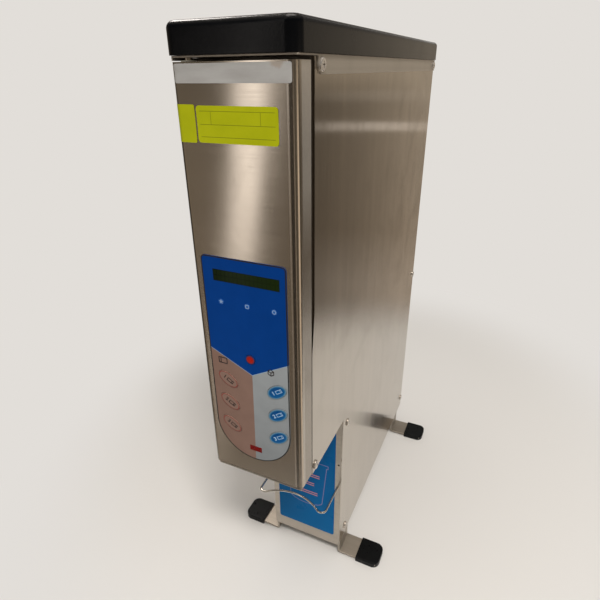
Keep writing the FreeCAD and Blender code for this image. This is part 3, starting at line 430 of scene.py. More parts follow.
def ruled_paper(name, ruled):
    """Lime paper with fibres and, on the form, thin ruled lines and no words."""
    s = Shader(name)
    x, _, z = s.axes(s.place)
    fibre = s.noise((900.0, 900.0, 2400.0), 3.0, 0.7)
    cloud = s.noise(55.0, 3.0)
    base = s.mix(s.fit(cloud, 0.35, 0.7), tone(168, 171, 4), tone(160, 164, 0))
    line = None
    for axis, place, start, end in ruled:
        here, there = (x, z) if axis == "x" else (z, x)
        before_end = s.fit(there, end - 0.05 * MM, end + 0.05 * MM, 1.0, 0.0)
        on = s.product(s.near(here, place, 0.32 * MM, 0.2 * MM),
                       s.product(s.above(there, start), before_end))
        line = on if line is None else s.calc("MAXIMUM", line, on)
    colour = base if line is None else s.mix(s.product(line, 0.7), base, tone(96, 104, 10))
    s.set("Specular IOR Level", 0.15)
    s.set("Base Color", s.mix(s.fit(fibre, 0.45, 0.8, 0.0, 0.2), colour, tone(184, 187, 24)))
    s.set("Roughness", s.fit(fibre, 0.3, 0.7, 0.5, 0.66))
    s.bump(fibre, 0.02 * MM, 0.4)
    return s.material


def tape_film(stain_x, stain_z):
    """Grey-white label tape with a brownish stain at one corner."""
    s = Shader("tape_film")
    x, _, z = s.axes(s.place)
    far = s.calc("SQRT", s.total(
        s.calc("POWER", s.calc("DIVIDE", s.calc("SUBTRACT", x, stain_x), 1.5), 2.0),
        s.calc("POWER", s.calc("SUBTRACT", z, stain_z), 2.0)))
    rough_edge = s.calc("ADD", far, s.fit(s.noise(500.0, 3.0), 0.3, 0.7, -0.6 * MM, 0.6 * MM))
    stain = s.fit(rough_edge, 4.4 * MM, 2.6 * MM, 0.0, 0.5)
    cloud = s.noise((25.0, 25.0, 90.0), 4.0, 0.6)
    base = s.mix(s.fit(cloud, 0.35, 0.75), tone(166, 163, 159), tone(148, 144, 139))
    s.set("Base Color", s.mix(stain, base, tone(140, 118, 94)))
    s.set("Roughness", s.fit(cloud, 0.3, 0.7, 0.3, 0.45))
    s.set("Coat Weight", 0.3)
    s.set("Coat Roughness", 0.25)
    s.bump(cloud, 0.08 * MM, 0.5)
    return s.material


def hopper_plastic():
    """Milky food-grade plastic."""
    s = Shader("hopper_milky")
    s.set("Subsurface Weight", 0.25)
    s.set("Subsurface Radius", (0.006, 0.005, 0.004))
    cloud = s.noise(30.0, 4.0, 0.6)
    flow = s.noise((40.0, 8.0, 160.0), 3.0)
    s.set("Base Color", s.mix(s.fit(cloud, 0.3, 0.75), tone(236, 234, 228), tone(222, 219, 210)))
    s.set("Roughness", s.total(s.fit(flow, 0.3, 0.7, -0.05, 0.06), 0.42))
    s.bump(flow, 0.05 * MM, 0.5)
    return s.material


def circuit_board():
    """Green board with traces, pads and a matt mask."""
    s = Shader("circuit_board")
    x, _, z = s.axes(s.place)
    lane = s.calc("ADD", s.product(x, 260.0), s.product(s.noise(30.0, 0.0), 3.0))
    rail = s.calc("ADD", s.product(z, 210.0), s.product(s.noise(24.0, 0.0), 3.0))
    upright = s.near(s.calc("FRACT", lane), 0.5, 0.12, 0.09)
    level = s.near(s.calc("FRACT", rail), 0.5, 0.12, 0.09)
    patch = s.fit(s.noise(45.0, 0.0), 0.49, 0.51)
    traces = s.calc("MAXIMUM", s.product(upright, patch),
                    s.product(level, s.calc("SUBTRACT", 1.0, patch)))
    pads = s.fit(s.cells(210.0), 0.13, 0.10)
    green = s.mix(s.product(traces, 0.8), tone(20, 82, 48), tone(44, 122, 70))
    s.set("Base Color", s.mix(pads, green, tone(196, 190, 176)))
    s.set("Metallic", s.product(pads, 0.8))
    s.set("Roughness", s.fit(pads, 0.0, 1.0, 0.42, 0.25))
    s.bump(s.total(traces, pads), 0.03 * MM, 0.6)
    return s.material


STEEL = tone(198, 190, 179)
STEEL_DULL = tone(188, 181, 171)
STEEL_COLUMN = tone(188, 179, 167)
STEEL_DECK = tone(172, 162, 148)
STEEL_LEG = tone(166, 157, 145)
# The front bulkhead's steel is toned dark: painted shade for the gaps round the door
STEEL_BULKHEAD_SHADED = tone(118, 112, 104)
# Turn of the brushed gloss: along upright lines and along level ones
UPRIGHT_SPIN = 0.0
LEVEL_SPIN = 0.25
# The painted highlight on the door beside its right bend
BEND_HIGHLIGHT_X = door_high.x - DOOR_BEND - 0.8 * MM

side_steel = brushed_steel("steel_side", "z", UPRIGHT_SPIN, STEEL, 0.16, 0.92, 0.7, 0.04)
door_steel = door_sheet("steel_door", STEEL)
# Painted light: column, deck and leg steel are toned copies of the steel, made partly diffuse so that they
# render lighter
column_steel_lit = brushed_steel("steel_column_lit", "x", LEVEL_SPIN, STEEL_COLUMN, 0.36, 0.7, metal=0.75)
deck_steel_lit = brushed_steel("steel_deck_lit", "y", LEVEL_SPIN, STEEL_DECK, 0.4, 0.5, metal=0.6)
leg_steel_lit = brushed_steel("steel_leg_lit", "x", LEVEL_SPIN, STEEL_LEG, 0.36, 0.5, metal=0.75)
inner_steel = mill_steel("steel_inner", STEEL_DULL)
black_lid = lid_plastic()
# Half length, half width and tilt of the oval keys of each column
key_turns = {"sweetener": (11.6 * MM, 6.7 * MM, -33.0), "sugar": (11.6 * MM, 6.7 * MM, 34.0)}
ROSE = tone(136, 108, 95)
RED_LINE = tone(136, 60, 54)

finishes = {
    "side_panel_left": side_steel, "side_panel_right": side_steel,
    "rear_cover": brushed_steel("steel_rear", "z", LEVEL_SPIN, STEEL, 0.36, 0.6),
    "column_front": column_steel_lit, "head_floor": column_steel_lit, "top_deck": deck_steel_lit, "leg_straps": leg_steel_lit,
    "door_pan": door_steel,
    # Painted shade: the bulkhead is darkened so that the gaps round the door look shaded
    "front_bulkhead": mill_steel("steel_bulkhead_painted_shade", STEEL_BULKHEAD_SHADED, 0.5),
    "base_pan": inner_steel, "mid_shelf": inner_steel, "motor_bracket": inner_steel,
    "lid_shell": black_lid, "foot_caps": cap_vinyl(), "splash_label": printed_label(),
    "keypad_overlay": keypad_film(), "display_window": liquid_crystal(),
    "indicator_lenses": lens("lens_indicator", tone(20, 78, 150), tone(60, 120, 190)),
    "status_lens": lens("lens_status", tone(104, 6, 6), tone(150, 12, 12)),
    "key_stop": key_face("key_red", "key_stop", 4.8 * MM, 4.8 * MM, 0.0,
                         [(0.0, tone(168, 18, 8)), (0.62, tone(154, 18, 10)), (0.74, tone(120, 40, 44)),
                          (0.86, tone(70, 46, 78)), (1.0, tone(16, 44, 98))], tone(176, 34, 20)),
    "cup_guide": bright_metal("guide_chrome", tone(226, 222, 214), 0.14),
    "panel_screws": bright_metal("screw_steel", tone(214, 206, 196), 0.24, metal=0.75),
    "door_pivot_pins": bright_metal("pin_steel", tone(214, 206, 194), 0.22),
    "lid_hinge_fixed_leaf": bright_metal("hinge_steel", tone(190, 184, 174), 0.34),
    "hopper_sweetener": hopper_plastic(),
    "hopper_seals": moulded("seal_grey", tone(126, 126, 124), 0.6, 1400.0),
    "auger_bushes": moulded("bush_ivory", tone(226, 218, 196), 0.4, 1400.0, 0.01 * MM),
    "auger_gear_sweetener": moulded("gear_nylon", tone(214, 210, 198), 0.38, 1500.0, 0.01 * MM),
    "auger_sweetener": moulded("auger_white", tone(232, 230, 224), 0.36, 1500.0, 0.01 * MM),
    "gearmotors": bright_metal("motor_zinc", tone(176, 176, 178), 0.38, 0.08),
    "power_supply": mill_steel("supply_zinc", tone(178, 180, 182), 0.45),
    "power_inlet": moulded("inlet_black", tone(26, 26, 27), 0.42, 1200.0),
    "power_rocker": moulded("rocker_black", tone(22, 22, 23), 0.3, 1600.0, 0.008 * MM),
    "magnet_catch": moulded("catch_white", tone(224, 222, 216), 0.42, 1200.0),
    "display_module": bright_metal("display_bezel", tone(90, 90, 92), 0.4),
    "control_board": circuit_board(),
    "board_standoffs": bright_metal("standoff_brass", tone(206, 176, 104), 0.26),
}
shared = {
    "hopper_sweetener": ["hopper_sugar", "discharge_chute"],
    "hopper_seals": ["lid_seal"],
    "auger_bushes": ["agitator_bushes", "door_bushes"],
    "auger_gear_sweetener": ["auger_gear_sugar", "agitator_gear_sweetener", "agitator_gear_sugar"],
    "auger_sweetener": ["auger_sugar", "agitator_sweetener", "agitator_sugar"],
    "panel_screws": ["motor_screws"],
    "door_pivot_pins": ["motor_shaft_sweetener", "motor_shaft_sugar", "lid_hinge_pin"],
    "lid_hinge_fixed_leaf": ["lid_hinge_moving_leaf"],
    "power_inlet": ["switch_housing"],
}
for first, others in shared.items():
    for other in others:
        finishes[other] = finishes[first]
for lane, (half_length, half_width, tilt) in key_turns.items():
    for number in (1, 2, 3):
        node = "key_%s_%d" % (lane, number)
        if lane == "sweetener":
            stops = [(0.0, ROSE), (0.88, ROSE), (0.91, RED_LINE), (0.96, RED_LINE), (0.99, ROSE)]
            lit_lower_colour = tone(139, 111, 99)
        else:
            # Painted highlight: the blue keys' rings turn paler towards the rim
            stops = [(0.0, tone(4, 84, 146)), (0.6, tone(0, 62, 118)), (0.76, tone(10, 86, 138)),
                     (0.88, tone(84, 132, 158)), (1.0, tone(126, 132, 136))]
            lit_lower_colour = tone(8, 104, 168)
        finishes[node] = key_face("face_" + node, node, half_length, half_width, tilt, stops, lit_lower_colour)


def angle_group():
    """Smooth shading except at edges sharper than a limit."""
    group = bpy.data.node_groups.new("smooth_by_angle", "GeometryNodeTree")
    group.interface.new_socket("Geometry", in_out="INPUT", socket_type="NodeSocketGeometry")
    group.interface.new_socket("Geometry", in_out="OUTPUT", socket_type="NodeSocketGeometry")
    graph = Graph(group)
    start = graph.node("NodeGroupInput")
    angle = graph.node("GeometryNodeInputMeshEdgeAngle").outputs[0]
    sharp = graph.calc("GREATER_THAN", angle, SHARP_EDGE)
    smooth = graph.node("GeometryNodeSetShadeSmooth", {"Geometry": start.outputs[0], "Shade Smooth": True})
    edges = graph.node("GeometryNodeSetShadeSmooth", {
        "Geometry": smooth.outputs[0], "Selection": sharp, "Shade Smooth": False}, domain="EDGE")
    end = graph.node("NodeGroupOutput")
    graph.put(end.inputs[0], edges.outputs[0])
    return group


SHARP_EDGE = math.radians(32)
SMOOTHING = angle_group()
# Softened edges in millimetres: sheet metal, moulded pieces and small parts
edge_radius = {
    "side_panel_left": 0.25, "side_panel_right": 0.25, "column_front": 0.25, "top_deck": 0.3,
    "head_floor": 0.25, "rear_cover": 0.2, "leg_straps": 0.3, "foot_caps": 0.6, "lid_shell": 0.4,
    "door_pan": 0.25, "hopper_sweetener": 0.4, "hopper_sugar": 0.4, "power_supply": 0.4,
    "motor_bracket": 0.25, "gearmotors": 0.5, "power_inlet": 0.3, "switch_housing": 0.3,
    "power_rocker": 0.25, "magnet_catch": 0.4, "discharge_chute": 0.3, "splash_label": 0.1,
    "display_module": 0.2, "front_bulkhead": 0.2, "mid_shelf": 0.2, "base_pan": 0.2,
    "lid_hinge_fixed_leaf": 0.15, "lid_hinge_moving_leaf": 0.15, "keypad_overlay": 0.08,
}


def finish_node(name, obj):
    """Give a node its material, softened edges and smooth curved faces."""
    obj.data.materials.clear()
    obj.data.materials.append(finishes[name])
    if "custom_normal" in obj.data.attributes:
        obj.data.attributes.remove(obj.data.attributes["custom_normal"])
    weld = obj.modifiers.new("weld", "WELD")
    weld.merge_threshold = 0.002 * MM
    flat = obj.modifiers.new("flat", "DECIMATE")
    flat.decimate_type = "DISSOLVE"
    flat.angle_limit = math.radians(0.4)
    if name in edge_radius:
        bevel = obj.modifiers.new("bevel", "BEVEL")
        bevel.width = edge_radius[name] * MM
        bevel.segments = 2
        bevel.limit_method = "ANGLE"
        bevel.angle_limit = math.radians(40)
    obj.modifiers.new("smooth", "NODES").node_group = SMOOTHING
    obj.modifiers.new("flat_faces", "WEIGHTED_NORMAL").keep_sharp = True


for name, obj in nodes.items():
    finish_node(name, obj)


# New pieces

def piece(name, mesh, material, body, smooth=True):
    """An object that rides on a body."""
    obj = bpy.data.objects.new(name, mesh)
    bpy.context.scene.collection.objects.link(obj)
    mesh.materials.clear()
    mesh.materials.append(material)
    if smooth:
        mesh.shade_smooth()
        obj.modifiers.new("smooth", "NODES").node_group = SMOOTHING
    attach(obj, body)
    return obj


def mesh_from(name, verts, faces):
    """A mesh with its doubled points joined and its faces turned outward."""
    mesh = bpy.data.meshes.new(name)
    mesh.from_pydata([tuple(v) for v in verts], [], faces)
    mesh.validate()
    graph = bmesh.new()
    graph.from_mesh(mesh)
    bmesh.ops.remove_doubles(graph, verts=graph.verts, dist=0.001 * MM)
    bmesh.ops.recalc_face_normals(graph, faces=graph.faces)
    graph.to_mesh(mesh)
    graph.free()
    return mesh


def door_point(run, lift):
    """x and y on the door at a run from its middle, measured round its bends, lifted off the steel."""
    flat = (door_high.x if run > 0 else -door_low.x) - DOOR_BEND
    if abs(run) <= flat:
        return run, DOOR_FACE - lift
    turn = min((abs(run) - flat) / DOOR_BEND, math.pi / 2)
    over = (abs(run) - flat) - turn * DOOR_BEND
    x = flat + (DOOR_BEND + lift) * math.sin(turn)
    y = DOOR_FACE + DOOR_BEND - (DOOR_BEND + lift) * math.cos(turn) + over
    return math.copysign(x, run), y


def sticker(name, u0, u1, z0, z1, corner, thickness, material, curl=0.0):
    """A thin sheet with rounded corners that follows the door round its bends, its own corners lifted."""
    glue, curl_reach = 0.02 * MM, 8 * MM
    corner_steps, steps, levels = 6, 60, 8
    runs = []
    for index in range(corner_steps + 1):
        runs.append(corner * (1 - math.cos(math.pi / 2 * index / corner_steps)))
    inner = [corner + (u1 - u0 - 2 * corner) * index / steps for index in range(1, steps)]
    offsets = runs + inner + [(u1 - u0) - run for run in reversed(runs)]
    verts, faces = [], []
    for offset in offsets:
        near = min(offset, (u1 - u0) - offset)
        cut = corner - math.sqrt(max(0.0, corner ** 2 - max(0.0, corner - near) ** 2))
        for level in range(levels + 1):
            share = level / levels
            z = z0 + cut + (z1 - z0 - 2 * cut) * share
            rise = curl * (max(0.0, 1 - near / curl_reach) ** 2) * (2 * share - 1) ** 2
            for lift in (glue + rise, glue + rise + thickness):
                x, y = door_point(u0 + offset, lift)
                verts.append((x, y, z))
    row = 2 * (levels + 1)
    for column in range(len(offsets) - 1):
        for level in range(levels):
            a = column * row + 2 * level
            b = a + row
            faces.append((a + 1, b + 1, b + 3, a + 3))
            faces.append((a, a + 2, b + 2, b))
        for side in (0, 2 * levels):
            a = column * row + side
            faces.append((a, a + row, a + row + 1, a + 1))
    for column in (0, len(offsets) - 1):
        for level in range(levels):
            a = column * row + 2 * level
            faces.append((a, a + 1, a + 3, a + 2))
    return piece(name, mesh_from(name, verts, faces), material, "door")


def ribbon(name, points, width, face_y, thickness, material, body, closed=True):
    """A flat line of even width through points (x, z) on a face that looks to the front."""
    count = len(points)
    verts, faces = [], []
    for index, (x, z) in enumerate(points):
        before = points[index - 1] if closed or index > 0 else points[index]
        after = points[(index + 1) % count] if closed or index < count - 1 else points[index]
        into = Vector((x - before[0], z - before[1]))
        away = Vector((after[0] - x, after[1] - z))
        into = into.normalized() if into.length > 0 else away.normalized()
        away = away.normalized() if away.length > 0 else into
        normal = Vector((-(into.y + away.y), into.x + away.x)).normalized()
        grow = min(1.0 / max(0.3, normal.dot(Vector((-away.y, away.x)))), 2.0)
        for side in (-0.5, 0.5):
            for lift in (0.0, thickness):
                verts.append((x + normal.x * side * width * grow, face_y - lift,
                              z + normal.y * side * width * grow))
    for index in range(count if closed else count - 1):
        a, b = 4 * index, 4 * ((index + 1) % count)
        for first, second in ((0, 2), (2, 3), (3, 1), (1, 0)):
            faces.append((a + first, a + second, b + second, b + first))
    if not closed:
        faces.append((0, 1, 3, 2))
        last = 4 * (count - 1)
        faces.append((last, last + 2, last + 3, last + 1))
    return piece(name, mesh_from(name, verts, faces), material, body)


def inlay(name, outlines, face_y, thickness, material, body):
    """Flat printed shapes on a face that looks to the front, from outlines of points (x, z)."""
    verts, faces = [], []
    for points in outlines:
        base = len(verts)
        count = len(points)
        for lift in (0.0, thickness):
            verts += [(x, face_y - lift, z) for x, z in points]
        faces.append(tuple(range(base, base + count)))
        faces.append(tuple(range(base + count, base + 2 * count)))
        for index in range(count):
            after = (index + 1) % count
            faces.append((base + index, base + after, base + count + after, base + count + index))
    return piece(name, mesh_from(name, verts, faces), material, body, smooth=False)


def rounded_outline(x0, x1, z0, z1, radius):
    points = []
    steps = 6
    for cx, cz, start in ((x1 - radius, z1 - radius, 0), (x0 + radius, z1 - radius, 90),
                          (x0 + radius, z0 + radius, 180), (x1 - radius, z0 + radius, 270)):
        for index in range(steps + 1):
            angle = math.radians(start + 90 * index / steps)
            points.append((cx + radius * math.cos(angle), cz + radius * math.sin(angle)))
    return points


def circle_points(x, z, radius):
    count = 40
    angles = [2 * math.pi * index / count for index in range(count)]
    return [(x + radius * math.cos(angle), z + radius * math.sin(angle)) for angle in angles]


def figure(name, text, x, z, size, tilt, face_y, material, body, slot):
    """A plain numeral, printed on the front of a key."""
    curve = bpy.data.curves.new(name, "FONT")
    curve.body = text
    curve.size = size
    curve.align_x = "CENTER"
    curve.align_y = "CENTER"
    curve.extrude = 0.03 * MM
    curve.offset = 0.18 * MM
    holder = bpy.data.objects.new(name, curve)
    mesh = bpy.data.meshes.new_from_object(holder)
    bpy.data.objects.remove(holder)
    upright = Matrix.Rotation(math.radians(90), 4, "X")
    turn = Matrix.Rotation(math.radians(-tilt), 4, "Y")
    mesh.transform(Matrix.Translation((x, face_y, z)) @ turn @ upright)
    return piece(name, mesh, material, body, smooth=False)


# Tape and paper tags stuck on the door
TAPE = (-50.4 * MM, 47.6 * MM, 630.6 * MM, 643.9 * MM)
sticker("tape_strip", *TAPE, 1.6 * MM, 0.09 * MM, tape_film(36.6 * MM, 643.6 * MM), 0.25 * MM)
SHEET = 0.12 * MM
tag_lines = [("z", 611.5 * MM, -31.0 * MM, 34.0 * MM), ("z", 602.0 * MM, -31.0 * MM, 34.0 * MM),
             ("z", 593.0 * MM, -31.0 * MM, 34.0 * MM), ("x", -21.0 * MM, 602.0 * MM, 611.5 * MM),
             ("x", 22.0 * MM, 602.0 * MM, 611.5 * MM)]
sticker("tag_form", -33.8 * MM, 36.6 * MM, 588.6 * MM, 615.4 * MM, 2.6 * MM, SHEET,
        ruled_paper("paper_form", tag_lines), 0.2 * MM)
sticker("tag_edge", -56.5 * MM, -35.3 * MM, 588.2 * MM, 616.0 * MM, 1.6 * MM, SHEET,
        ruled_paper("paper_edge", []), 0.15 * MM)

# Painted shadow round the keypad film: a dark line along its edge, whose lower end is a half circle
INK_DEPTH = 0.04 * MM
half_film = (film_high.x - film_low.x) / 2
film_middle = (film_high.x + film_low.x) / 2
film_corner = 4 * MM
inset = 0.6 * MM
edge_shadow_path = []
for index in range(49):
    angle = math.pi + math.pi * index / 48
    edge_shadow_path.append((film_middle + (half_film - inset) * math.cos(angle),
                      film_low.z + half_film + (half_film - inset) * math.sin(angle)))
for cx, start in ((film_high.x - film_corner, 0), (film_low.x + film_corner, 90)):
    for index in range(9):
        angle = math.radians(start + 90 * index / 8)
        edge_shadow_path.append((cx + (film_corner - inset) * math.cos(angle),
                          film_high.z - film_corner + (film_corner - inset) * math.sin(angle)))
ribbon("film_edge_shadow", edge_shadow_path, 1.1 * MM, FILM_FACE, INK_DEPTH, ink("painted_edge_shadow", tone(30, 27, 26)), "door")

# Three plain marks over the indicators
lens_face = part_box("indicator_lenses")[0].y
white_ink = ink("ink_white", tone(132, 156, 192))
MARK_Z = 452.0 * MM
MARK_X = (-26.8 * MM, 0.2 * MM, 27.1 * MM)
star = []
for index in range(10):
    radius = 2.4 * MM if index % 2 == 0 else 1.1 * MM
    angle = math.pi / 2 + math.pi * index / 5
    star.append((MARK_X[0] + radius * math.cos(angle), MARK_Z + radius * math.sin(angle)))
inlay("mark_star", [star], lens_face, INK_DEPTH, white_ink, "door")
half = 1.5 * MM
square = rounded_outline(MARK_X[1] - half, MARK_X[1] + half, MARK_Z - half, MARK_Z + half, 0.4 * MM)
ribbon("mark_square", square, 0.7 * MM, lens_face, INK_DEPTH, white_ink, "door")
ribbon("mark_circle", circle_points(MARK_X[2], MARK_Z, 1.6 * MM), 0.7 * MM, lens_face, INK_DEPTH, white_ink,
       "door")

# A numeral and a packet's outline on each key
KEY_INK_DEPTH = 0.03 * MM
dark_ink = ink("ink_dark", tone(40, 30, 32))
pale_ink = ink("ink_pale", tone(166, 198, 222))
for lane, (half_length, half_width, tilt) in key_turns.items():
    across, up = math.cos(math.radians(tilt)), math.sin(math.radians(tilt))
    mark_ink = dark_ink if lane == "sweetener" else pale_ink
    slot = "key_pink" if lane == "sweetener" else "key_blue"
    line_width = (0.8 if lane == "sweetener" else 0.55) * MM
    for number in (1, 2, 3):
        key = "key_%s_%d" % (lane, number)
        low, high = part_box(key)
        x, z = (low.x + high.x) / 2, (low.z + high.z) / 2

        def on_key(along, rise):
            return x + along * across - rise * up, z + along * up + rise * across

        figure("figure_%s_%d" % (lane, number), str(number), *on_key(-4.2 * MM, 0.0), 5.6 * MM, tilt, low.y,
               mark_ink, key, slot)
        packet = [on_key(a * MM, r * MM) for a, r in ((-0.9, -1.6), (5.9, -1.6), (5.9, 1.6), (-0.9, 1.6))]
        ribbon("packet_%s_%d" % (lane, number), packet, line_width, low.y, KEY_INK_DEPTH, mark_ink, key)
        fold = [on_key(4.4 * MM, -1.5 * MM), on_key(4.4 * MM, 1.5 * MM)]
        ribbon("packet_fold_%s_%d" % (lane, number), fold, line_width, low.y, KEY_INK_DEPTH, mark_ink, key,
               closed=False)

# Plain pictures over the two columns: a packet on the left and a lump on the right
FOLD_X = -33.3 * MM
ribbon("picture_packet", rounded_outline(-35.5 * MM, -26.5 * MM, 385.5 * MM, 391.5 * MM, 0.4 * MM), 1.0 * MM,
       FILM_FACE, INK_DEPTH, dark_ink, "door")
ribbon("picture_packet_fold", [(FOLD_X, 385.6 * MM), (FOLD_X, 391.4 * MM)], 1.0 * MM,
       FILM_FACE, INK_DEPTH, dark_ink, "door", closed=False)
LUMP_X, LUMP_Z, LUMP = 21.0 * MM, 388.0 * MM, 3.4 * MM
corners = []
for index in range(6):
    angle = math.radians(60 * index)
    corners.append((LUMP_X + LUMP * math.sin(angle), LUMP_Z + LUMP * math.cos(angle)))
ribbon("picture_lump", corners, 0.95 * MM, FILM_FACE, INK_DEPTH, dark_ink, "door")
for index in (1, 3, 5):
    ribbon("picture_lump_%d" % index, [(LUMP_X, LUMP_Z), corners[index]], 0.9 * MM,
           FILM_FACE, INK_DEPTH, dark_ink, "door", closed=False)

# Print on the label behind the cup: a cup's outline and three bars
rose_ink = ink("ink_rose", tone(186, 124, 130))
violet_ink = ink("ink_violet", tone(120, 114, 156))
LABEL_INK_DEPTH = 0.05 * MM
RIM_Z, RIM_HALF, BASE_Z, BASE_HALF, BASE_SAG = 166 * MM, 32 * MM, 95 * MM, 24 * MM, 10 * MM
LIP_Z, NECK_HALF = RIM_Z - 5 * MM, RIM_HALF - 2 * MM
cup = [(RIM_HALF, RIM_Z), (RIM_HALF, LIP_Z), (NECK_HALF, LIP_Z)]
for index in range(17):
    angle = math.pi * index / 16
    cup.append((BASE_HALF * math.cos(angle), BASE_Z - BASE_SAG * math.sin(angle)))
cup += [(-NECK_HALF, LIP_Z), (-RIM_HALF, LIP_Z), (-RIM_HALF, RIM_Z)]
ribbon("label_cup", cup, 0.9 * MM, LABEL_FACE, LABEL_INK_DEPTH, violet_ink, "cabinet")
bars = []
for z, half in ((141, 20), (125, 12), (108, 17)):
    for rise in (-2.2, 1.4):
        bars.append(rounded_outline(-half * MM, half * MM, (z + rise - 0.8) * MM, (z + rise + 0.8) * MM,
                                    0.7 * MM))
inlay("label_bars", bars, LABEL_FACE, LABEL_INK_DEPTH, rose_ink, "cabinet")

# Stage: the floor sheet's colour, half width, half depth and middle, the background, and even light
PAPER = tone(225, 221, 216)
SHEET_HALF = (0.44, 0.5)
SHEET_MIDDLE = 0.17
BACKGROUND = tone(226, 222, 217)
AMBIENT = (0.46, 0.452, 0.44, 1.0)
# The card's wall and dome as (radius, height), and the height from which its rises are counted
CARD_WALL = [(1.8, -3.2), (1.8, -2.0), (1.8, -1.0), (1.8, 0.0), (1.8, 1.0)]
CARD_DOME = [(1.8, 1.0), (1.75, 1.35), (1.55, 1.8), (1.15, 2.2), (0.6, 2.4), (0.05, 2.45)]
CARD_EYE = 0.45
# Colour of the card by rise in degrees
CARD_GREYS = [
    (-60.0, tone(126, 114, 100)), (-18.0, tone(122, 110, 96)), (0.0, tone(128, 117, 103)),
    (9.6, tone(130, 120, 106)), (24.0, tone(84, 79, 73)), (38.4, tone(84, 80, 76)),
    (50.4, tone(176, 167, 155)), (60.0, tone(190, 181, 169))]
# Brightness round the card, by degrees from the back, past the right, to the front and left
ROUND_THE_CARD = [
    (0, 2.6), (8, 2.6), (12.6, 2.0), (17, 1.35), (21.6, 0.85), (27, 0.5), (35, 0.5), (60, 0.4), (74, 0.4),
    (80, 4.2), (101, 4.2), (106, 0.9), (122, 0.5), (137, 0.5), (142, 1.5), (149, 1.5), (154, 0.25),
    (195, 0.25), (199, 0.9), (204, 0.8), (206, 0.75), (220, 1.2), (232, 1.4), (240, 0.6), (262, 0.25),
    (307, 0.25)]
# The same, higher up
ROUND_ABOVE = [(0, 2.4), (30, 1.8), (60, 1.0), (150, 0.5), (240, 0.5), (300, 1.0), (360, 2.4)]
CARD_TOP_VALUE = 5


def camera():
    """The camera, with its roll about the line of sight."""
    azimuth, elevation, roll = CAMERA_AZIMUTH, CAMERA_ELEVATION, CAMERA_ROLL
    back = Vector((math.sin(azimuth) * math.cos(elevation), -math.cos(azimuth) * math.cos(elevation),
                   math.sin(elevation)))
    right = (-back).cross(Vector((0, 0, 1))).normalized()
    up = right.cross(-back)
    level = right * math.cos(roll) + up * math.sin(roll)
    upright = up * math.cos(roll) - right * math.sin(roll)
    data = bpy.data.cameras.new("camera")
    data.lens = CAMERA_LENS
    data.sensor_width = 36.0
    data.clip_start = 0.01
    data.clip_end = 50.0
    obj = bpy.data.objects.new("camera", data)
    bpy.context.scene.collection.objects.link(obj)
    turned = Matrix((level, upright, back)).transposed().to_4x4()
    obj.matrix_world = Matrix.Translation(CAMERA_PLACE) @ turned
    bpy.context.scene.camera = obj


def floor():
    """A pale sheet under the dispenser that fades out into the plain background. In the camera's view it
    turns into the background's colour, and for everything else it turns clear.
    """
    reach, rings, spokes = 1.6, 10, 96
    verts = [(0.0, SHEET_MIDDLE, 0.0)]
    faces = []
    for ring in range(1, rings + 1):
        for spoke in range(spokes):
            angle = 2 * math.pi * spoke / spokes
            radius = reach * ring / rings
            verts.append((SHEET_HALF[0] * radius * math.cos(angle),
                          SHEET_MIDDLE + SHEET_HALF[1] * radius * math.sin(angle), 0.0))
    for spoke in range(spokes):
        after = (spoke + 1) % spokes
        faces.append((0, 1 + spoke, 1 + after))
        for ring in range(rings - 1):
            a, b = 1 + ring * spokes, 1 + (ring + 1) * spokes
            faces.append((a + spoke, b + spoke, b + after, a + after))
    mesh = bpy.data.meshes.new("floor")
    mesh.from_pydata(verts, [], faces)
    obj = bpy.data.objects.new("floor", mesh)
    bpy.context.scene.collection.objects.link(obj)
    s = Shader("floor_paper")
    s.set("Roughness", 0.9)
    s.set("Specular IOR Level", 0.0)
    x, y, _ = s.axes(s.place)
    share = s.calc("SQRT", s.total(
        s.calc("POWER", s.calc("DIVIDE", x, SHEET_HALF[0]), 2.0),
        s.calc("POWER", s.calc("DIVIDE", s.calc("SUBTRACT", y, SHEET_MIDDLE), SHEET_HALF[1]), 2.0)))
    fade = s.node("ShaderNodeMapRange", {"Value": share, "From Min": 0.7, "From Max": 1.45},
                  interpolation_type="SMOOTHERSTEP").outputs[0]
    in_view = s.node("ShaderNodeLightPath").outputs["Is Camera Ray"]
    shown = s.product(fade, in_view)
    s.set("Base Color", s.mix(shown, PAPER, (0.0, 0.0, 0.0, 1.0)))
    s.set("Emission Color", BACKGROUND)
    s.set("Emission Strength", shown)
    s.set("Alpha", s.calc("MAXIMUM", s.calc("SUBTRACT", 1.0, fade), in_view))
    mesh.materials.append(s.material)


def world():
    """A pale background, which metal shows too, and even light for everything else."""
    made = bpy.data.worlds.new("studio")
    bpy.context.scene.world = made
    made.use_nodes = True
    g = Graph(made.node_tree)
    plain = g.tree.nodes["Background"]
    path = g.node("ShaderNodeLightPath")
    seen = g.calc("MAXIMUM", path.outputs["Is Camera Ray"],
                  g.calc("MAXIMUM", path.outputs["Is Glossy Ray"], path.outputs["Is Transmission Ray"]))
    g.put(plain.inputs["Color"], g.mix(seen, AMBIENT, BACKGROUND))
    plain.inputs["Strength"].default_value = 1.0


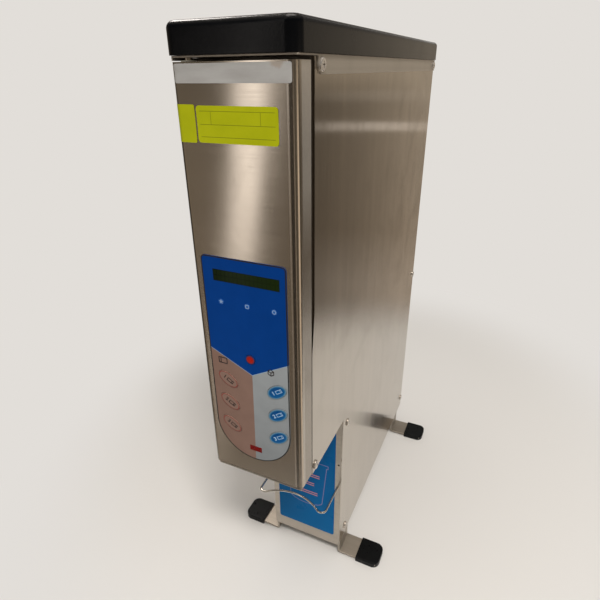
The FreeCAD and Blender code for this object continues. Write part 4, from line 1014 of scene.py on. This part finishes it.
def dim_card():
    """A large dim card out of the picture that steel and lid mirror: a dome all round, and a wall under it
    all round but for the back left. It carries the bands and lamps that show on door, right side and lid.
    """
    start, sweep, steps, wall_steps = 3.0, 357.0, 90, 77
    verts, faces = [], []
    for profile, last in ((CARD_WALL, wall_steps), (CARD_DOME, steps)):
        for step in range(last):
            ends = [math.radians(start + sweep * index / steps) for index in (step, step + 1)]
            for (r0, z0), (r1, z1) in zip(profile, profile[1:]):
                base = len(verts)
                corners = ((ends[0], r0, z0), (ends[1], r0, z0), (ends[1], r1, z1), (ends[0], r1, z1))
                for angle, radius, z in corners:
                    verts.append((radius * math.sin(angle), radius * math.cos(angle), z))
                faces.append((base, base + 1, base + 2, base + 3))
    mesh = mesh_from("dim_card", verts, faces)
    obj = bpy.data.objects.new("dim_card", mesh)
    bpy.context.scene.collection.objects.link(obj)
    s = Shader("card_grey")
    x, y, z = s.axes(s.place)
    turn = s.product(s.calc("ARCTAN2", x, y), 180 / math.pi)
    out = s.calc("SQRT", s.total(s.calc("POWER", x, 2.0), s.calc("POWER", y, 2.0)))
    rise = s.product(s.calc("ARCTAN2", s.calc("SUBTRACT", z, CARD_EYE), out), 180 / math.pi)
    lowest, highest = CARD_GREYS[0][0], CARD_GREYS[-1][0]
    grey = s.ramp(s.fit(rise, lowest, highest), [
        ((at - lowest) / (highest - lowest), colour) for at, colour in CARD_GREYS])

    def round_card(values):
        shade = s.ramp(s.fit(s.calc("FLOORED_MODULO", turn, 360.0), 0.0, 360.0), [
            (at / 360, (value / CARD_TOP_VALUE,) * 3 + (1.0,)) for at, value in values])
        return s.times(shade, CARD_TOP_VALUE)

    overhead = s.mix(s.fit(rise, 42.0, 30.0), (1.0, 1.0, 1.0, 1.0), round_card(ROUND_ABOVE))
    fall = s.mix(s.fit(rise, 7.0, 2.0), overhead, round_card(ROUND_THE_CARD))
    # Bands and lamps on the card, each with its brightness: two level bands and a low one that the right side
    # mirrors, the upright strip of the door, and lamps at the left and overhead for the lid
    level_band = s.product(s.near(z, 0.40, 0.022, 0.014), s.near(turn, 20.5, 7.5, 6.8))
    faint_band = s.product(s.near(z, 0.53, 0.03, 0.012), s.near(turn, 20.5, 8.5, 5.0))
    low_side = s.product(s.near(turn, 20.0, 12.0, 6.0), s.fit(rise, -17.0, -25.0))
    strip_turn = s.total(turn, s.product(rise, 0.13))
    strip = s.product(s.near(strip_turn, -153.2, 2.3, 1.4), s.fit(rise, -42.0, 0.0))
    left_lamp = s.product(s.near(turn, -66.0, 14.0, 9.0), s.near(rise, 49.0, 9.0, 6.0))
    top_lamp = s.fit(rise, 70.0, 74.0)
    bands = s.total(s.product(level_band, 0.45), s.product(faint_band, 0.08), s.product(strip, 1.9),
                    s.product(left_lamp, 16.0), s.product(low_side, 0.12), s.product(top_lamp, 5.0))
    dim = s.node("ShaderNodeVectorMath", {0: grey, 1: fall}, operation="MULTIPLY").outputs[0]
    glow = s.times((1.0, 0.93, 0.87), bands)
    s.set("Base Color", (0.0, 0.0, 0.0, 1.0))
    s.set("Specular IOR Level", 0.0)
    s.set("Emission Color", s.node("ShaderNodeVectorMath", {0: dim, 1: glow}, operation="ADD").outputs[0])
    s.set("Emission Strength", 1.0)
    mesh.materials.append(s.material)
    obj.visible_camera = False
    obj.visible_diffuse = False
    obj.visible_transmission = False
    obj.visible_shadow = False


def area_light(name, place, aim, width, height, power, shade):
    """A soft lamp that steel and lid don't mirror: they mirror the card's lamps."""
    data = bpy.data.lights.new(name, "AREA")
    data.shape = "RECTANGLE"
    data.size = width
    data.size_y = height
    data.energy = power
    data.color = shade
    obj = bpy.data.objects.new(name, data)
    bpy.context.scene.collection.objects.link(obj)
    obj.location = place
    obj.rotation_euler = (Vector(aim) - Vector(place)).to_track_quat("-Z", "Y").to_euler()
    obj.visible_camera = False
    obj.visible_glossy = False


camera()
floor()
world()
dim_card()
area_light("overhead", (-0.2, -0.1, 2.0), (0.0, 0.1, 0.0), 1.5, 1.5, 4.5, (1.0, 0.985, 0.96))
area_light("front", (0.66, -1.0, 1.9), (0.0, -0.1, 0.1), 0.5, 0.2, 27.0, (1.0, 0.98, 0.95))
area_light("right", (1.7, 0.1, 1.3), (0.1, 0.1, 0.1), 1.1, 1.1, 4.0, (1.0, 0.98, 0.95))

bpy.context.scene.view_settings.view_transform = "Standard"
